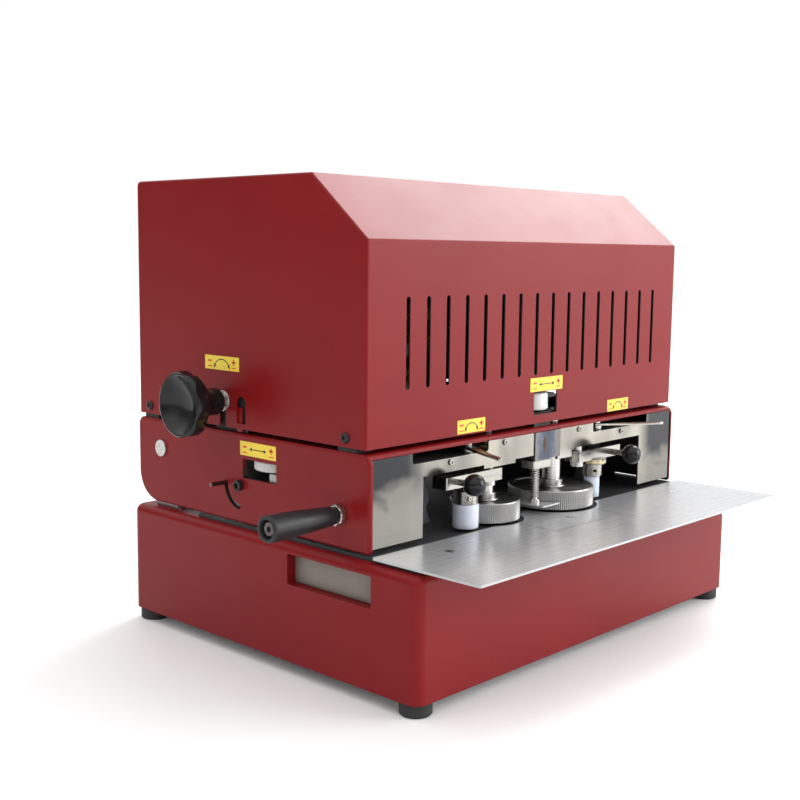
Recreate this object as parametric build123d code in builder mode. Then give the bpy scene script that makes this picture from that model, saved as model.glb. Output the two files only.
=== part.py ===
"""Hot foil stamper: a bench machine with a base, a tilting head and a sheet hood.

Millimetres. The origin is the centre of the base's footprint on the bench,
+X to the operator's right, +Y to the back, +Z up.
"""
import os

from build123d import *

os.makedirs("parts", exist_ok=True)

# ---------------------------------------------------------------- driving dimensions
FOOT_HEIGHT = 12.0
FOOT_RADIUS = 14.0
FOOT_X = 235.0
FOOT_Y = 181.5

BASE_WIDTH = 500.0
BASE_DEPTH = 393.0
BASE_TOP = 118.8
BASE_CORNER = 10.0
BASE_EDGE = 8.0
BASE_WALL = 6.0
COVER_THICKNESS = 2.0

DECK_THICKNESS = 3.0
TABLE_THICKNESS = 2.0
TABLE_WIDTH = 488.0
TABLE_FRONT = -254.5
TABLE_REAR = -138.5
INSERT_LEFT = -56.0
INSERT_RIGHT = 48.0
INSERT_FRONT = -189.5
INSERT_REAR = -116.5

HEAD_WIDTH = 480.0
HEAD_FRONT = -131.5
HEAD_REAR = 198.5
HEAD_BOTTOM = 123.0
HEAD_TOP = 207.0
HEAD_WALL = 4.0
HEAD_REAR_RADIUS = 30.0
WEB_BOTTOM = 185.0
WEB_TOP = 193.0
PIVOT_Y = 159.5
PIVOT_Z = 178.5
PIVOT_PIN = 6.0

HOOD_FRONT = -126.5
HOOD_REAR = 195.5
HOOD_BOTTOM = 211.0
HOOD_TOP = 440.0
HOOD_SHOULDER = 384.0
HOOD_SLOPE = 68.0
SHEET = 1.5
VENT_COUNT = 16
VENT_PITCH = 25.75

WHEEL_BOTTOM = 124.5
WHEEL_TOP = 143.5
LEFT_WHEEL = (-60.0, -108.0)
RIGHT_WHEEL = (41.0, -111.0)
LEFT_WHEEL_RADIUS = 33.4
RIGHT_WHEEL_RADIUS = 43.0
LEFT_PULLEY_RADIUS = 8.55
RIGHT_PULLEY_RADIUS = 11.0
MOTOR_AXIS = (60.0, -30.0)
BELT_BOTTOM = 214.5
BELT_HEIGHT = 6.0

ARM_BOTTOM = 165.0
ARM_TOP = 176.0
ARM_WIDTH = 18.0
ARM_Y = -123.5
LEFT_ARM_PIVOT = -75.0
RIGHT_ARM_PIVOT = 68.0
ROD_Z = 171.0
BALL_RADIUS = 10.0

LEVER_BOTTOM = 197.3
LEVER_THICKNESS = 2.5
LEVER_LENGTH = 74.0

PRESSER = (-8.0, -127.5)
HEIGHT_SCREW = (7.0, -108.5)
KNOB_Y = 61.8
KNOB_Z = 235.0
TAKEUP_Y = 45.0
TAKEUP_Z = 310.0
GRIP_Y = -96.5
GRIP_Z = 153.0
ARC_Y = 37.0
ARC_Z = 158.5
ARC_RADIUS = 20.5
DIAL = (-212.0, 9.5)
SLIP = 0.06  # radial clearance of a running fit

# ---------------------------------------------------------------- worked out from them
DECK_TOP = BASE_TOP + DECK_THICKNESS
TABLE_TOP = DECK_TOP + TABLE_THICKNESS
HALF_HEAD = HEAD_WIDTH / 2
HALF_BASE = BASE_WIDTH / 2
BASE_REAR = BASE_DEPTH / 2
FEET = [(x, y) for x in (-FOOT_X, FOOT_X) for y in (-FOOT_Y, FOOT_Y)]
MIRRORED = (-1, 1)


def x_plane(x):
    """A sketch plane facing +X at this x, its own x along +Y and its own y along +Z."""
    return Plane(origin=(x, 0, 0), x_dir=(0, 1, 0), z_dir=(1, 0, 0))


def y_plane(y):
    """A sketch plane facing +Y at this y, its own x along +X and its own y along -Z."""
    return Plane(origin=(0, y, 0), x_dir=(1, 0, 0), z_dir=(0, 1, 0))


def front_plane(y):
    """A sketch plane facing -Y at this y, its own x along +X and its own y along +Z."""
    return Plane(origin=(0, y, 0), x_dir=(1, 0, 0), z_dir=(0, -1, 0))


# ================================================================ base
RECESS_FRONT = -143.5
RECESS_REAR = -40.0
RECESS_BOTTOM = 82.5
RECESS_TOP = 110.0
RECESS_DEPTH = 10.5
INLET_X = 160.0
SWITCH_X = 100.0
REAR_FITTING_Z = 60.0
SWITCH_HOLE = (28.4, 24.4)
INLET_HOLE = (28.0, 21.0)
POST_Y = (142.0, 177.0)
TABLE_SCREWS = [(-181.5, -169.0), (181.5, -169.0), (0.0, -162.5)]
DECK_SCREWS = [(-220.0, 80.0), (220.0, 80.0), (-90.0, 80.0), (90.0, 80.0)]

with BuildPart() as base_casting:
    with BuildSketch(Plane.XY.offset(FOOT_HEIGHT)):
        RectangleRounded(BASE_WIDTH, BASE_DEPTH, BASE_CORNER)
    extrude(amount=BASE_TOP - FOOT_HEIGHT)
    fillet(base_casting.edges().group_by(Axis.Z)[-1], radius=BASE_EDGE)
    with BuildSketch(Plane.XY.offset(FOOT_HEIGHT)):
        RectangleRounded(BASE_WIDTH - 2 * BASE_WALL, BASE_DEPTH - 2 * BASE_WALL, BASE_CORNER / 2)
    extrude(amount=BASE_TOP - BASE_WALL - FOOT_HEIGHT, mode=Mode.SUBTRACT)
    # Bosses over the feet, down to the bottom cover.
    with BuildSketch(Plane.XY.offset(FOOT_HEIGHT + COVER_THICKNESS)):
        with Locations(*FEET):
            Circle(8)
    extrude(until=Until.NEXT)
    with Locations(*[(x, y, FOOT_HEIGHT) for x, y in FEET]):
        CounterBoreHole(2.55, 2.6, 0.5, depth=30)
    # The walled pocket of the side recess.
    with BuildSketch(x_plane(-HALF_BASE + BASE_WALL - 1)):
        with Locations(((RECESS_FRONT + RECESS_REAR) / 2, (RECESS_BOTTOM + RECESS_TOP) / 2)):
            Rectangle(RECESS_REAR - RECESS_FRONT + 8, RECESS_TOP - RECESS_BOTTOM + 8)
    extrude(amount=RECESS_DEPTH - BASE_WALL + 5)
    with BuildSketch(x_plane(-HALF_BASE)):
        with Locations(((RECESS_FRONT + RECESS_REAR) / 2, (RECESS_BOTTOM + RECESS_TOP) / 2)):
            RectangleRounded(RECESS_REAR - RECESS_FRONT, RECESS_TOP - RECESS_BOTTOM, 2)
    extrude(amount=RECESS_DEPTH, mode=Mode.SUBTRACT)
    # Openings in the rear wall for the inlet and the switch.
    with BuildSketch(y_plane(BASE_REAR - BASE_WALL - 1)):
        with Locations((INLET_X, -REAR_FITTING_Z)):
            Rectangle(*INLET_HOLE)
        with Locations((SWITCH_X, -REAR_FITTING_Z)):
            Rectangle(*SWITCH_HOLE)
    extrude(amount=BASE_WALL + 2, mode=Mode.SUBTRACT)
    # Threaded holes for the table, the deck and the hinge posts.
    with Locations(*[(x, y, BASE_TOP) for x, y in TABLE_SCREWS + DECK_SCREWS]):
        Hole(2.05, depth=BASE_WALL)
base_casting.part.label = "base_casting"
export_step(base_casting.part, "parts/base_casting.step")

with BuildPart() as bottom_cover:
    with BuildSketch(Plane.XY.offset(FOOT_HEIGHT)):
        RectangleRounded(BASE_WIDTH - 2 * BASE_WALL - 1, BASE_DEPTH - 2 * BASE_WALL - 1, 4.5)
        with Locations(*FEET):
            Circle(2.6, mode=Mode.SUBTRACT)
        with Locations((-90, 40)):
            with GridLocations(12, 0, 8, 1):
                SlotOverall(60, 4, rotation=90, mode=Mode.SUBTRACT)
    extrude(amount=COVER_THICKNESS)
bottom_cover.part.label = "bottom_cover"
export_step(bottom_cover.part, "parts/bottom_cover.step")

with BuildPart() as rubber_feet:
    with BuildSketch(Plane.XY):
        with Locations(*FEET):
            Circle(FOOT_RADIUS)
    extrude(amount=FOOT_HEIGHT)
    chamfer(rubber_feet.edges().group_by(Axis.Z)[0], length=1.5)
    with Locations(*[(x, y, 0) for x, y in FEET]):
        with Locations(Rotation(180, 0, 0)):
            CounterBoreHole(2.6, 5.5, 6, depth=FOOT_HEIGHT)
    # Two flat pads on the deck, under the head's side walls.
    with BuildSketch(Plane.XY.offset(DECK_TOP)):
        with Locations((-237, -20), (237, -20)):
            RectangleRounded(6, 80, 2)
    extrude(amount=1)
rubber_feet.part.label = "rubber_feet"
export_step(rubber_feet.part, "parts/rubber_feet.step")

with BuildPart() as recess_panel:
    with BuildSketch(x_plane(-HALF_BASE + RECESS_DEPTH - 1.5)):
        with Locations(((RECESS_FRONT + RECESS_REAR) / 2, (RECESS_BOTTOM + RECESS_TOP) / 2)):
            RectangleRounded(RECESS_REAR - RECESS_FRONT - 1, RECESS_TOP - RECESS_BOTTOM - 1, 2)
    extrude(amount=1.5)
recess_panel.part.label = "recess_panel"
export_step(recess_panel.part, "parts/recess_panel.step")

with BuildPart() as deck_plate:
    with BuildSketch(Plane.XY.offset(BASE_TOP)):
        with Locations((0, -44)):
            Rectangle(480, 288)
        with Locations(*TABLE_SCREWS, *DECK_SCREWS):
            Circle(2.1, mode=Mode.SUBTRACT)
    extrude(amount=DECK_THICKNESS)
deck_plate.part.label = "deck_plate"
export_step(deck_plate.part, "parts/deck_plate.step")

with BuildPart() as table_plate:
    with BuildSketch(Plane.XY.offset(DECK_TOP)):
        with Locations((0, (TABLE_FRONT + TABLE_REAR) / 2)):
            RectangleRounded(TABLE_WIDTH, TABLE_REAR - TABLE_FRONT, 2)
        with Locations(((INSERT_LEFT + INSERT_RIGHT) / 2, (INSERT_FRONT + TABLE_REAR) / 2)):
            Rectangle(INSERT_RIGHT - INSERT_LEFT + 0.8, TABLE_REAR - INSERT_FRONT + 0.8, mode=Mode.SUBTRACT)
        with Locations(LEFT_WHEEL):
            Circle(LEFT_WHEEL_RADIUS + 4, mode=Mode.SUBTRACT)
        with Locations(RIGHT_WHEEL):
            Circle(RIGHT_WHEEL_RADIUS + 4, mode=Mode.SUBTRACT)
    extrude(amount=TABLE_THICKNESS)
    with Locations(*[(x, y, TABLE_TOP) for x, y in TABLE_SCREWS[:2]]):
        CounterSinkHole(2.1, 4.2)
table_plate.part.label = "table_plate"
export_step(table_plate.part, "parts/table_plate.step")

with BuildPart() as table_insert:
    with BuildSketch(Plane.XY.offset(DECK_TOP)):
        with Locations(((INSERT_LEFT + INSERT_RIGHT) / 2, (INSERT_FRONT + INSERT_REAR) / 2)):
            Rectangle(INSERT_RIGHT - INSERT_LEFT, INSERT_REAR - INSERT_FRONT)
        with Locations(LEFT_WHEEL):
            Circle(LEFT_WHEEL_RADIUS + 4, mode=Mode.SUBTRACT)
        with Locations(RIGHT_WHEEL):
            Circle(RIGHT_WHEEL_RADIUS + 4, mode=Mode.SUBTRACT)
    extrude(amount=TABLE_THICKNESS)
    with Locations((*TABLE_SCREWS[2], TABLE_TOP)):
        CounterSinkHole(2.1, 4.2)
table_insert.part.label = "table_insert"
export_step(table_insert.part, "parts/table_insert.step")

# Screws of the base: socket heads under the feet and on the deck, countersunk in the table.
with BuildPart() as base_screws:
    with BuildSketch(Plane.XY.offset(2.5)):
        with Locations(*FEET):
            Circle(4.75)
    extrude(amount=3.5)
    with BuildSketch(Plane.XY.offset(6)):
        with Locations(*FEET):
            Circle(2.5)
    extrude(amount=24)
    with BuildSketch(Plane.XY.offset(BASE_TOP - 5)):
        with Locations(*DECK_SCREWS):
            Circle(2)
    extrude(amount=DECK_THICKNESS + 5)
    with BuildSketch(Plane.XY.offset(DECK_TOP)):
        with Locations(*DECK_SCREWS):
            Circle(3.8)
    extrude(amount=2.2)
    with BuildSketch(Plane.XY.offset(BASE_TOP - 5)):
        with Locations(*TABLE_SCREWS):
            Circle(1.9)
    extrude(amount=DECK_THICKNESS + 5.4)
    with Locations(*[(x, y, TABLE_TOP - 1) for x, y in TABLE_SCREWS]):
        Cone(2.2, 3.8, 1.6)
    with BuildSketch(Plane.XY.offset(TABLE_TOP - 1.2)):
        with Locations(*TABLE_SCREWS):
            RegularPolygon(1.4, 6)
    extrude(amount=2, mode=Mode.SUBTRACT)
    with BuildSketch(Plane.XY.offset(DECK_TOP + 1)):
        with Locations(*DECK_SCREWS):
            RegularPolygon(1.4, 6)
    extrude(amount=2, mode=Mode.SUBTRACT)
    with BuildSketch(Plane.XY.offset(2.5)):
        with Locations(*FEET):
            RegularPolygon(1.7, 6)
    extrude(amount=2, mode=Mode.SUBTRACT)
base_screws.part.label = "base_screws"
export_step(base_screws.part, "parts/base_screws.step")

# Two upright posts inside the head's side walls carry the pivot bolts.
POST_WIDTH = POST_Y[1] - POST_Y[0]
with BuildPart() as hinge_posts:
    for side in MIRRORED:
        with BuildSketch(x_plane(side * 230 - 4)):
            with Locations((PIVOT_Y, PIVOT_Z)):
                Circle(POST_WIDTH / 2)
            with Locations((PIVOT_Y, (BASE_TOP + PIVOT_Z) / 2)):
                Rectangle(POST_WIDTH, PIVOT_Z - BASE_TOP)
            with Locations((PIVOT_Y, PIVOT_Z)):
                Circle(PIVOT_PIN + SLIP, mode=Mode.SUBTRACT)
        extrude(amount=8)
        with BuildSketch(Plane.XY.offset(BASE_TOP)):
            with Locations((side * 219, PIVOT_Y)):
                RectangleRounded(30, POST_WIDTH, 3)
        extrude(amount=6)
hinge_posts.part.label = "hinge_posts"
export_step(hinge_posts.part, "parts/hinge_posts.step")

with BuildPart() as power_inlet:
    with BuildSketch(y_plane(BASE_REAR)):
        with Locations((INLET_X, -REAR_FITTING_Z)):
            RectangleRounded(48, 25, 5)
    extrude(amount=2.5)
    with BuildSketch(y_plane(BASE_REAR - 24)):
        with Locations((INLET_X, -REAR_FITTING_Z)):
            Rectangle(27.4, 20.4)
    extrude(amount=24)
    with BuildSketch(y_plane(BASE_REAR - 14)):
        with Locations((INLET_X, -REAR_FITTING_Z)):
            RectangleRounded(24.2, 16.2, 3)
    extrude(amount=20, mode=Mode.SUBTRACT)
    with BuildSketch(y_plane(BASE_REAR - 14)):
        with Locations((INLET_X - 7, -REAR_FITTING_Z), (INLET_X, -REAR_FITTING_Z - 4), (INLET_X + 7, -REAR_FITTING_Z)):
            Rectangle(2, 4)
    extrude(amount=12)
    with BuildSketch(y_plane(BASE_REAR)):
        with Locations((INLET_X - 20, -REAR_FITTING_Z), (INLET_X + 20, -REAR_FITTING_Z)):
            Circle(1.7)
    extrude(amount=3, mode=Mode.SUBTRACT)
power_inlet.part.label = "power_inlet"
export_step(power_inlet.part, "parts/power_inlet.step")

with BuildPart() as switch_housing:
    with BuildSketch(y_plane(BASE_REAR)):
        with Locations((SWITCH_X, -REAR_FITTING_Z)):
            RectangleRounded(32, 28, 2)
    extrude(amount=2)
    with BuildSketch(y_plane(BASE_REAR - 20)):
        with Locations((SWITCH_X, -REAR_FITTING_Z)):
            Rectangle(28, 24)
    extrude(amount=20)
    with BuildSketch(y_plane(BASE_REAR - 14)):
        with Locations((SWITCH_X, -REAR_FITTING_Z)):
            Rectangle(20, 22)
    extrude(amount=20, mode=Mode.SUBTRACT)
switch_housing.part.label = "switch_housing"
export_step(switch_housing.part, "parts/switch_housing.step")

# The rocker lies tilted to its "off" side and swings about an axle along X.
ROCKER_Y = BASE_REAR - 5.5
ROCKER_TILT = 10.0
with BuildPart() as power_rocker:
    rocker_plane = Plane(
        origin=(SWITCH_X - 9, ROCKER_Y, REAR_FITTING_Z), x_dir=(0, 1, 0), z_dir=(1, 0, 0)
    ).rotated((ROCKER_TILT, 0, 0))
    with BuildSketch(rocker_plane):
        Polygon((8.5, 9), (6, 0), (8.5, -9), (-2, -7), (-4, 0), (-2, 7), align=None)
    extrude(amount=18)
    with BuildSketch(Plane.YZ.offset(SWITCH_X - 9.8)):
        with Locations((ROCKER_Y, REAR_FITTING_Z)):
            Circle(1.5)
    extrude(amount=19.6)
power_rocker.part.label = "power_rocker"
export_step(power_rocker.part, "parts/power_rocker.step")

with BuildPart() as power_supply:
    with BuildSketch(Plane.XY.offset(FOOT_HEIGHT + COVER_THICKNESS)):
        with Locations((110, 60)):
            RectangleRounded(130, 98, 1)
    extrude(amount=38)
    with BuildSketch(Plane.XY.offset(FOOT_HEIGHT + COVER_THICKNESS + 36)):
        with Locations((110, 60)):
            with GridLocations(10, 14, 9, 5):
                Circle(2.5)
    extrude(amount=4, mode=Mode.SUBTRACT)
power_supply.part.label = "power_supply"
export_step(power_supply.part, "parts/power_supply.step")

with BuildPart() as control_board:
    with BuildSketch(Plane.XY.offset(24)):
        with Locations((-90, -60)):
            Rectangle(120, 80)
    extrude(amount=1.6)
    with BuildSketch(Plane.XY.offset(FOOT_HEIGHT + COVER_THICKNESS)):
        with Locations((-90, -60)):
            with GridLocations(108, 68, 2, 2):
                Circle(3)
    extrude(amount=10)
    with BuildSketch(Plane.XY.offset(25.6)):
        with Locations((-110, -60)):
            Rectangle(30, 40)
        with Locations((-60, -75), (-60, -45)):
            Rectangle(22, 18)
        with Locations((-85, -80), (-85, -66), (-85, -52)):
            Circle(5)
    extrude(amount=14)
control_board.part.label = "control_board"
export_step(control_board.part, "parts/control_board.step")

# ================================================================ head frame
SLOT_END = 84.0
ARC_SLOT_WIDTH = 5.0
with BuildPart() as head_frame:
    with BuildSketch(x_plane(-HALF_HEAD)):
        with BuildLine():
            FilletPolyline(
                (HEAD_FRONT, HEAD_BOTTOM),
                (HEAD_REAR, HEAD_BOTTOM),
                (HEAD_REAR, HEAD_TOP),
                (HEAD_FRONT, HEAD_TOP),
                radius=(3, HEAD_REAR_RADIUS, 8, 9),
                close=True,
            )
        make_face()
    extrude(amount=HEAD_WIDTH)
    fillet(head_frame.faces().filter_by(Axis.X).edges(), radius=2.5)
    # Open in front and below; the rear wall stops at the pivot's height.
    with BuildSketch(Plane.XY.offset(HEAD_BOTTOM - 1)):
        with Locations((0, (HEAD_FRONT - 5 + HEAD_REAR - HEAD_WALL) / 2)):
            Rectangle(HEAD_WIDTH - 2 * HEAD_WALL, HEAD_REAR - HEAD_WALL - HEAD_FRONT + 5)
    extrude(amount=HEAD_TOP - HEAD_WALL - HEAD_BOTTOM + 1, mode=Mode.SUBTRACT)
    with BuildSketch(Plane.XY.offset(HEAD_BOTTOM - 1)):
        with Locations((0, HEAD_REAR)):
            Rectangle(HEAD_WIDTH - 2 * HEAD_WALL, 2 * HEAD_WALL + 2)
    extrude(amount=53, mode=Mode.SUBTRACT)
    # The top is open behind its front strip.
    with BuildSketch(Plane.XY.offset(HEAD_TOP - HEAD_WALL - 1)):
        with Locations((0, 40)):
            RectangleRounded(430, 270, 12)
        with Locations(LEFT_WHEEL, RIGHT_WHEEL):
            Circle(10)
        with Locations(HEIGHT_SCREW):
            Circle(6)
    extrude(amount=HEAD_WALL + 2, mode=Mode.SUBTRACT)
    # The web carries the wheels, the arms, the levers, the motor and the reels.
    with BuildSketch(Plane.XY.offset(WEB_BOTTOM)):
        with Locations((0, 3.25)):
            Rectangle(HEAD_WIDTH - HEAD_WALL, 263.5)
        with Locations(LEFT_WHEEL, RIGHT_WHEEL):
            Circle(14, mode=Mode.SUBTRACT)
        with Locations((6.5, -116)):
            Rectangle(43, 33, mode=Mode.SUBTRACT)
        with Locations(DIAL):
            Circle(3.5, mode=Mode.SUBTRACT)
        with Locations((LEFT_ARM_PIVOT, ARM_Y), (RIGHT_ARM_PIVOT, ARM_Y)):
            Circle(4.02, mode=Mode.SUBTRACT)
    extrude(amount=WEB_TOP - WEB_BOTTOM)
    # Left wall: the dial window, the arc slot and the holes of the screws.
    with BuildSketch(x_plane(-HALF_HEAD - 1)):
        with Locations((9.5, 175)):
            Rectangle(47, 18)
        with BuildLine():
            arc_slot = CenterArc((ARC_Y, ARC_Z), ARC_RADIUS, -SLOT_END, SLOT_END)
        trace(arc_slot, line_width=ARC_SLOT_WIDTH)
        with Locations(arc_slot @ 0, arc_slot @ 1):
            Circle(ARC_SLOT_WIDTH / 2)
        with Locations((ARC_Y, ARC_Z)):
            Circle(3.05)
        with Locations((GRIP_Y, GRIP_Z)):
            Circle(4.05)
    extrude(amount=HEAD_WALL + 2, mode=Mode.SUBTRACT)
    for side in MIRRORED:
        with BuildSketch(x_plane(side * (HALF_HEAD - HEAD_WALL / 2) - HEAD_WALL)):
            with Locations((PIVOT_Y, PIVOT_Z)):
                Circle(PIVOT_PIN + 0.02)
        extrude(amount=2 * HEAD_WALL, mode=Mode.SUBTRACT)
head_frame.part.label = "head_frame"
export_step(head_frame.part, "parts/head_frame.step")

with BuildPart() as pivot_bolts:
    for side in MIRRORED:
        with BuildSketch(x_plane(side * 232 - 10)):
            with Locations((PIVOT_Y, PIVOT_Z)):
                Circle(PIVOT_PIN)
        extrude(amount=20)
        with BuildSketch(x_plane(side * 241 - 1)):
            with Locations((PIVOT_Y, PIVOT_Z)):
                Circle(8.5)
        extrude(amount=2)
    fillet(pivot_bolts.edges().group_by(Axis.X)[-1] + pivot_bolts.edges().group_by(Axis.X)[0], radius=0.6)
pivot_bolts.part.label = "pivot_bolts"
export_step(pivot_bolts.part, "parts/pivot_bolts.step")

# ---------------------------------------------------------------- front trim, in the front opening
WING_OUT = 236.0
WING_IN = 173.0
WING_STEP = 187.0
TRIM_BOTTOM = 127.0
STRIP_TOP = 193.5
with BuildPart() as front_trim:
    with BuildSketch(front_plane(HEAD_FRONT + 3)):
        for side in MIRRORED:
            with Locations((side * (WING_OUT + WING_IN) / 2, (TRIM_BOTTOM + STRIP_TOP) / 2)):
                Rectangle(WING_OUT - WING_IN, STRIP_TOP - TRIM_BOTTOM)
            with Locations((side * (WING_OUT + WING_STEP) / 2, 198)):
                Rectangle(WING_OUT - WING_STEP, 9.4)
        with Locations((0, 187.25)):
            Rectangle(2 * WING_IN + 2, 12.5)
        with Locations((-66.75, 184)):
            Rectangle(46.5, 13)
        with Locations((0.5, 198)):
            Rectangle(169, 9.6)
        with Locations((6.5, 190)):
            Rectangle(42, 40, mode=Mode.SUBTRACT)
    extrude(amount=2)
    fillet(front_trim.edges().filter_by(Axis.Y).filter_by_position(Axis.Z, 193, 194), radius=2.5)
front_trim.part.label = "front_trim"
export_step(front_trim.part, "parts/front_trim.step")

# ================================================================ hood
SCREW_Y = (-102.5, 177.5)
SCREW_Z = 219.0
with BuildPart() as hood:
    with BuildSketch(x_plane(-HALF_HEAD)):
        with BuildLine():
            FilletPolyline(
                (HOOD_FRONT, HOOD_BOTTOM - 4),
                (HOOD_REAR, HOOD_BOTTOM - 4),
                (HOOD_REAR, HOOD_TOP),
                (HOOD_FRONT + HOOD_SLOPE, HOOD_TOP),
                (HOOD_FRONT, HOOD_SHOULDER),
                radius=(0.5, 0.5, 5, 3, 3),
                close=True,
            )
        make_face()
    extrude(amount=HEAD_WIDTH)
    fillet(hood.faces().filter_by(Axis.X).edges(), radius=2.2)
    with BuildSketch(x_plane(-HALF_HEAD + SHEET)):
        with BuildLine():
            FilletPolyline(
                (HOOD_FRONT + SHEET, HOOD_BOTTOM - 5),
                (HOOD_REAR - SHEET, HOOD_BOTTOM - 5),
                (HOOD_REAR - SHEET, HOOD_TOP - SHEET),
                (HOOD_FRONT + HOOD_SLOPE + 0.55, HOOD_TOP - SHEET),
                (HOOD_FRONT + SHEET, HOOD_SHOULDER - 0.71),
                radius=(0.5, 0.5, 3.5, 1.5, 1.5),
                close=True,
            )
        make_face()
    extrude(amount=HEAD_WIDTH - 2 * SHEET, mode=Mode.SUBTRACT)
    with BuildSketch(Plane.XY.offset(HOOD_BOTTOM - 6)):
        with Locations((0, 30)):
            Rectangle(HEAD_WIDTH + 20, 400)
    extrude(amount=6, mode=Mode.SUBTRACT)
    # Vent slots and the window of the height wheel in the front.
    with BuildSketch(front_plane(HOOD_FRONT + 3)):
        with Locations((3.05, 297.5)):
            with GridLocations(VENT_PITCH, 0, VENT_COUNT, 1):
                SlotOverall(79, 5, rotation=90)
        with Locations((7.25, 230.5)):
            Rectangle(37.5, 22)
    extrude(amount=4, mode=Mode.SUBTRACT)
    # Left side: the open slot over the knob's shaft, the small window and the screw holes.
    with BuildSketch(x_plane(-HALF_HEAD - 1)):
        with Locations((KNOB_Y, KNOB_Z)):
            Circle(4.6)
        with Locations((KNOB_Y, (KNOB_Z + HOOD_BOTTOM) / 2 - 2)):
            Rectangle(9.2, KNOB_Z - HOOD_BOTTOM + 4)
        with Locations((35, 226)):
            Rectangle(13, 20)
        with Locations((35, 234.5)):
            Circle(6.5)
    extrude(amount=4, mode=Mode.SUBTRACT)
    for side in MIRRORED:
        with BuildSketch(x_plane(side * (HALF_HEAD - 1) - 2)):
            with Locations(*[(y, SCREW_Z) for y in SCREW_Y]):
                Circle(2.7)
        extrude(amount=4, mode=Mode.SUBTRACT)
hood.part.label = "hood"
export_step(hood.part, "parts/hood.step")

# The black screws of the head: button heads on the hood, small ones on the trim and the
# socket screw that the arc lever turns on.
TRIM_SCREWS = [(-137.0, 189.5), (137.0, 189.5), (-60.0, 199.0), (60.0, 199.0)]
with BuildPart() as black_screws:
    for side in MIRRORED:
        for y in SCREW_Y:
            with BuildSketch(x_plane(side * 236 - 5)):
                with Locations((y, SCREW_Z)):
                    Circle(2.5)
            extrude(amount=10)
            with BuildSketch(x_plane(side * 241.4 - 1.4)):
                with Locations((y, SCREW_Z)):
                    Circle(4.75)
            extrude(amount=2.8)
    for group in (0, -1):
        fillet(black_screws.edges().group_by(Axis.X)[group], radius=1.8)
    for side in MIRRORED:
        with BuildSketch(x_plane(side * 242 - 1)):
            for y in SCREW_Y:
                with Locations((y, SCREW_Z)):
                    RegularPolygon(1.75, 6)
        extrude(amount=2, mode=Mode.SUBTRACT)
    with BuildSketch(front_plane(HEAD_FRONT + 1)):
        with Locations(*TRIM_SCREWS):
            Circle(2.75)
    extrude(amount=1.6)
    with BuildSketch(front_plane(HEAD_FRONT + 0.4)):
        with Locations(*TRIM_SCREWS):
            RegularPolygon(1.4, 6)
    extrude(amount=2, mode=Mode.SUBTRACT)
    with BuildSketch(x_plane(-HALF_HEAD)):
        with Locations((ARC_Y, ARC_Z)):
            Circle(3)
    extrude(amount=12)
    with BuildSketch(x_plane(-HALF_HEAD - 5)):
        with Locations((ARC_Y, ARC_Z)):
            Circle(5)
    extrude(amount=5)
    with BuildSketch(x_plane(-HALF_HEAD - 5)):
        with Locations((ARC_Y, ARC_Z)):
            RegularPolygon(2.7, 6)
    extrude(amount=3, mode=Mode.SUBTRACT)
black_screws.part.label = "black_screws"
export_step(black_screws.part, "parts/black_screws.step")

LABEL = 0.25
with BuildPart() as direction_labels:
    with BuildSketch(x_plane(-HALF_HEAD - LABEL)):
        with Locations((62.5, 270), (11.3, 194)):
            Rectangle(50, 13)
    extrude(amount=LABEL)
    with BuildSketch(front_plane(HOOD_FRONT)):
        with Locations((8.3, 248.7)):
            Rectangle(52, 13.3)
        with Locations((-104.7, 218.6), (135, 217.4)):
            Rectangle(39, 12.3)
    extrude(amount=LABEL)
direction_labels.part.label = "direction_labels"
export_step(direction_labels.part, "parts/direction_labels.step")

# ================================================================ feed wheels and their drive
with BuildPart() as wheel_bearings:
    for (x, y), bore in ((LEFT_WHEEL, 5), (RIGHT_WHEEL, 6)):
        with BuildSketch(Plane.XY.offset(178)):
            with Locations((x, y)):
                Circle(13.95)
                Circle(bore + SLIP, mode=Mode.SUBTRACT)
        extrude(amount=WEB_TOP - 178)
        with BuildSketch(Plane.XY.offset(WEB_TOP)):
            with Locations((x, y)):
                Circle(17)
                Circle(bore + SLIP, mode=Mode.SUBTRACT)
        extrude(amount=3)
wheel_bearings.part.label = "wheel_bearings"
export_step(wheel_bearings.part, "parts/wheel_bearings.step")

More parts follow.
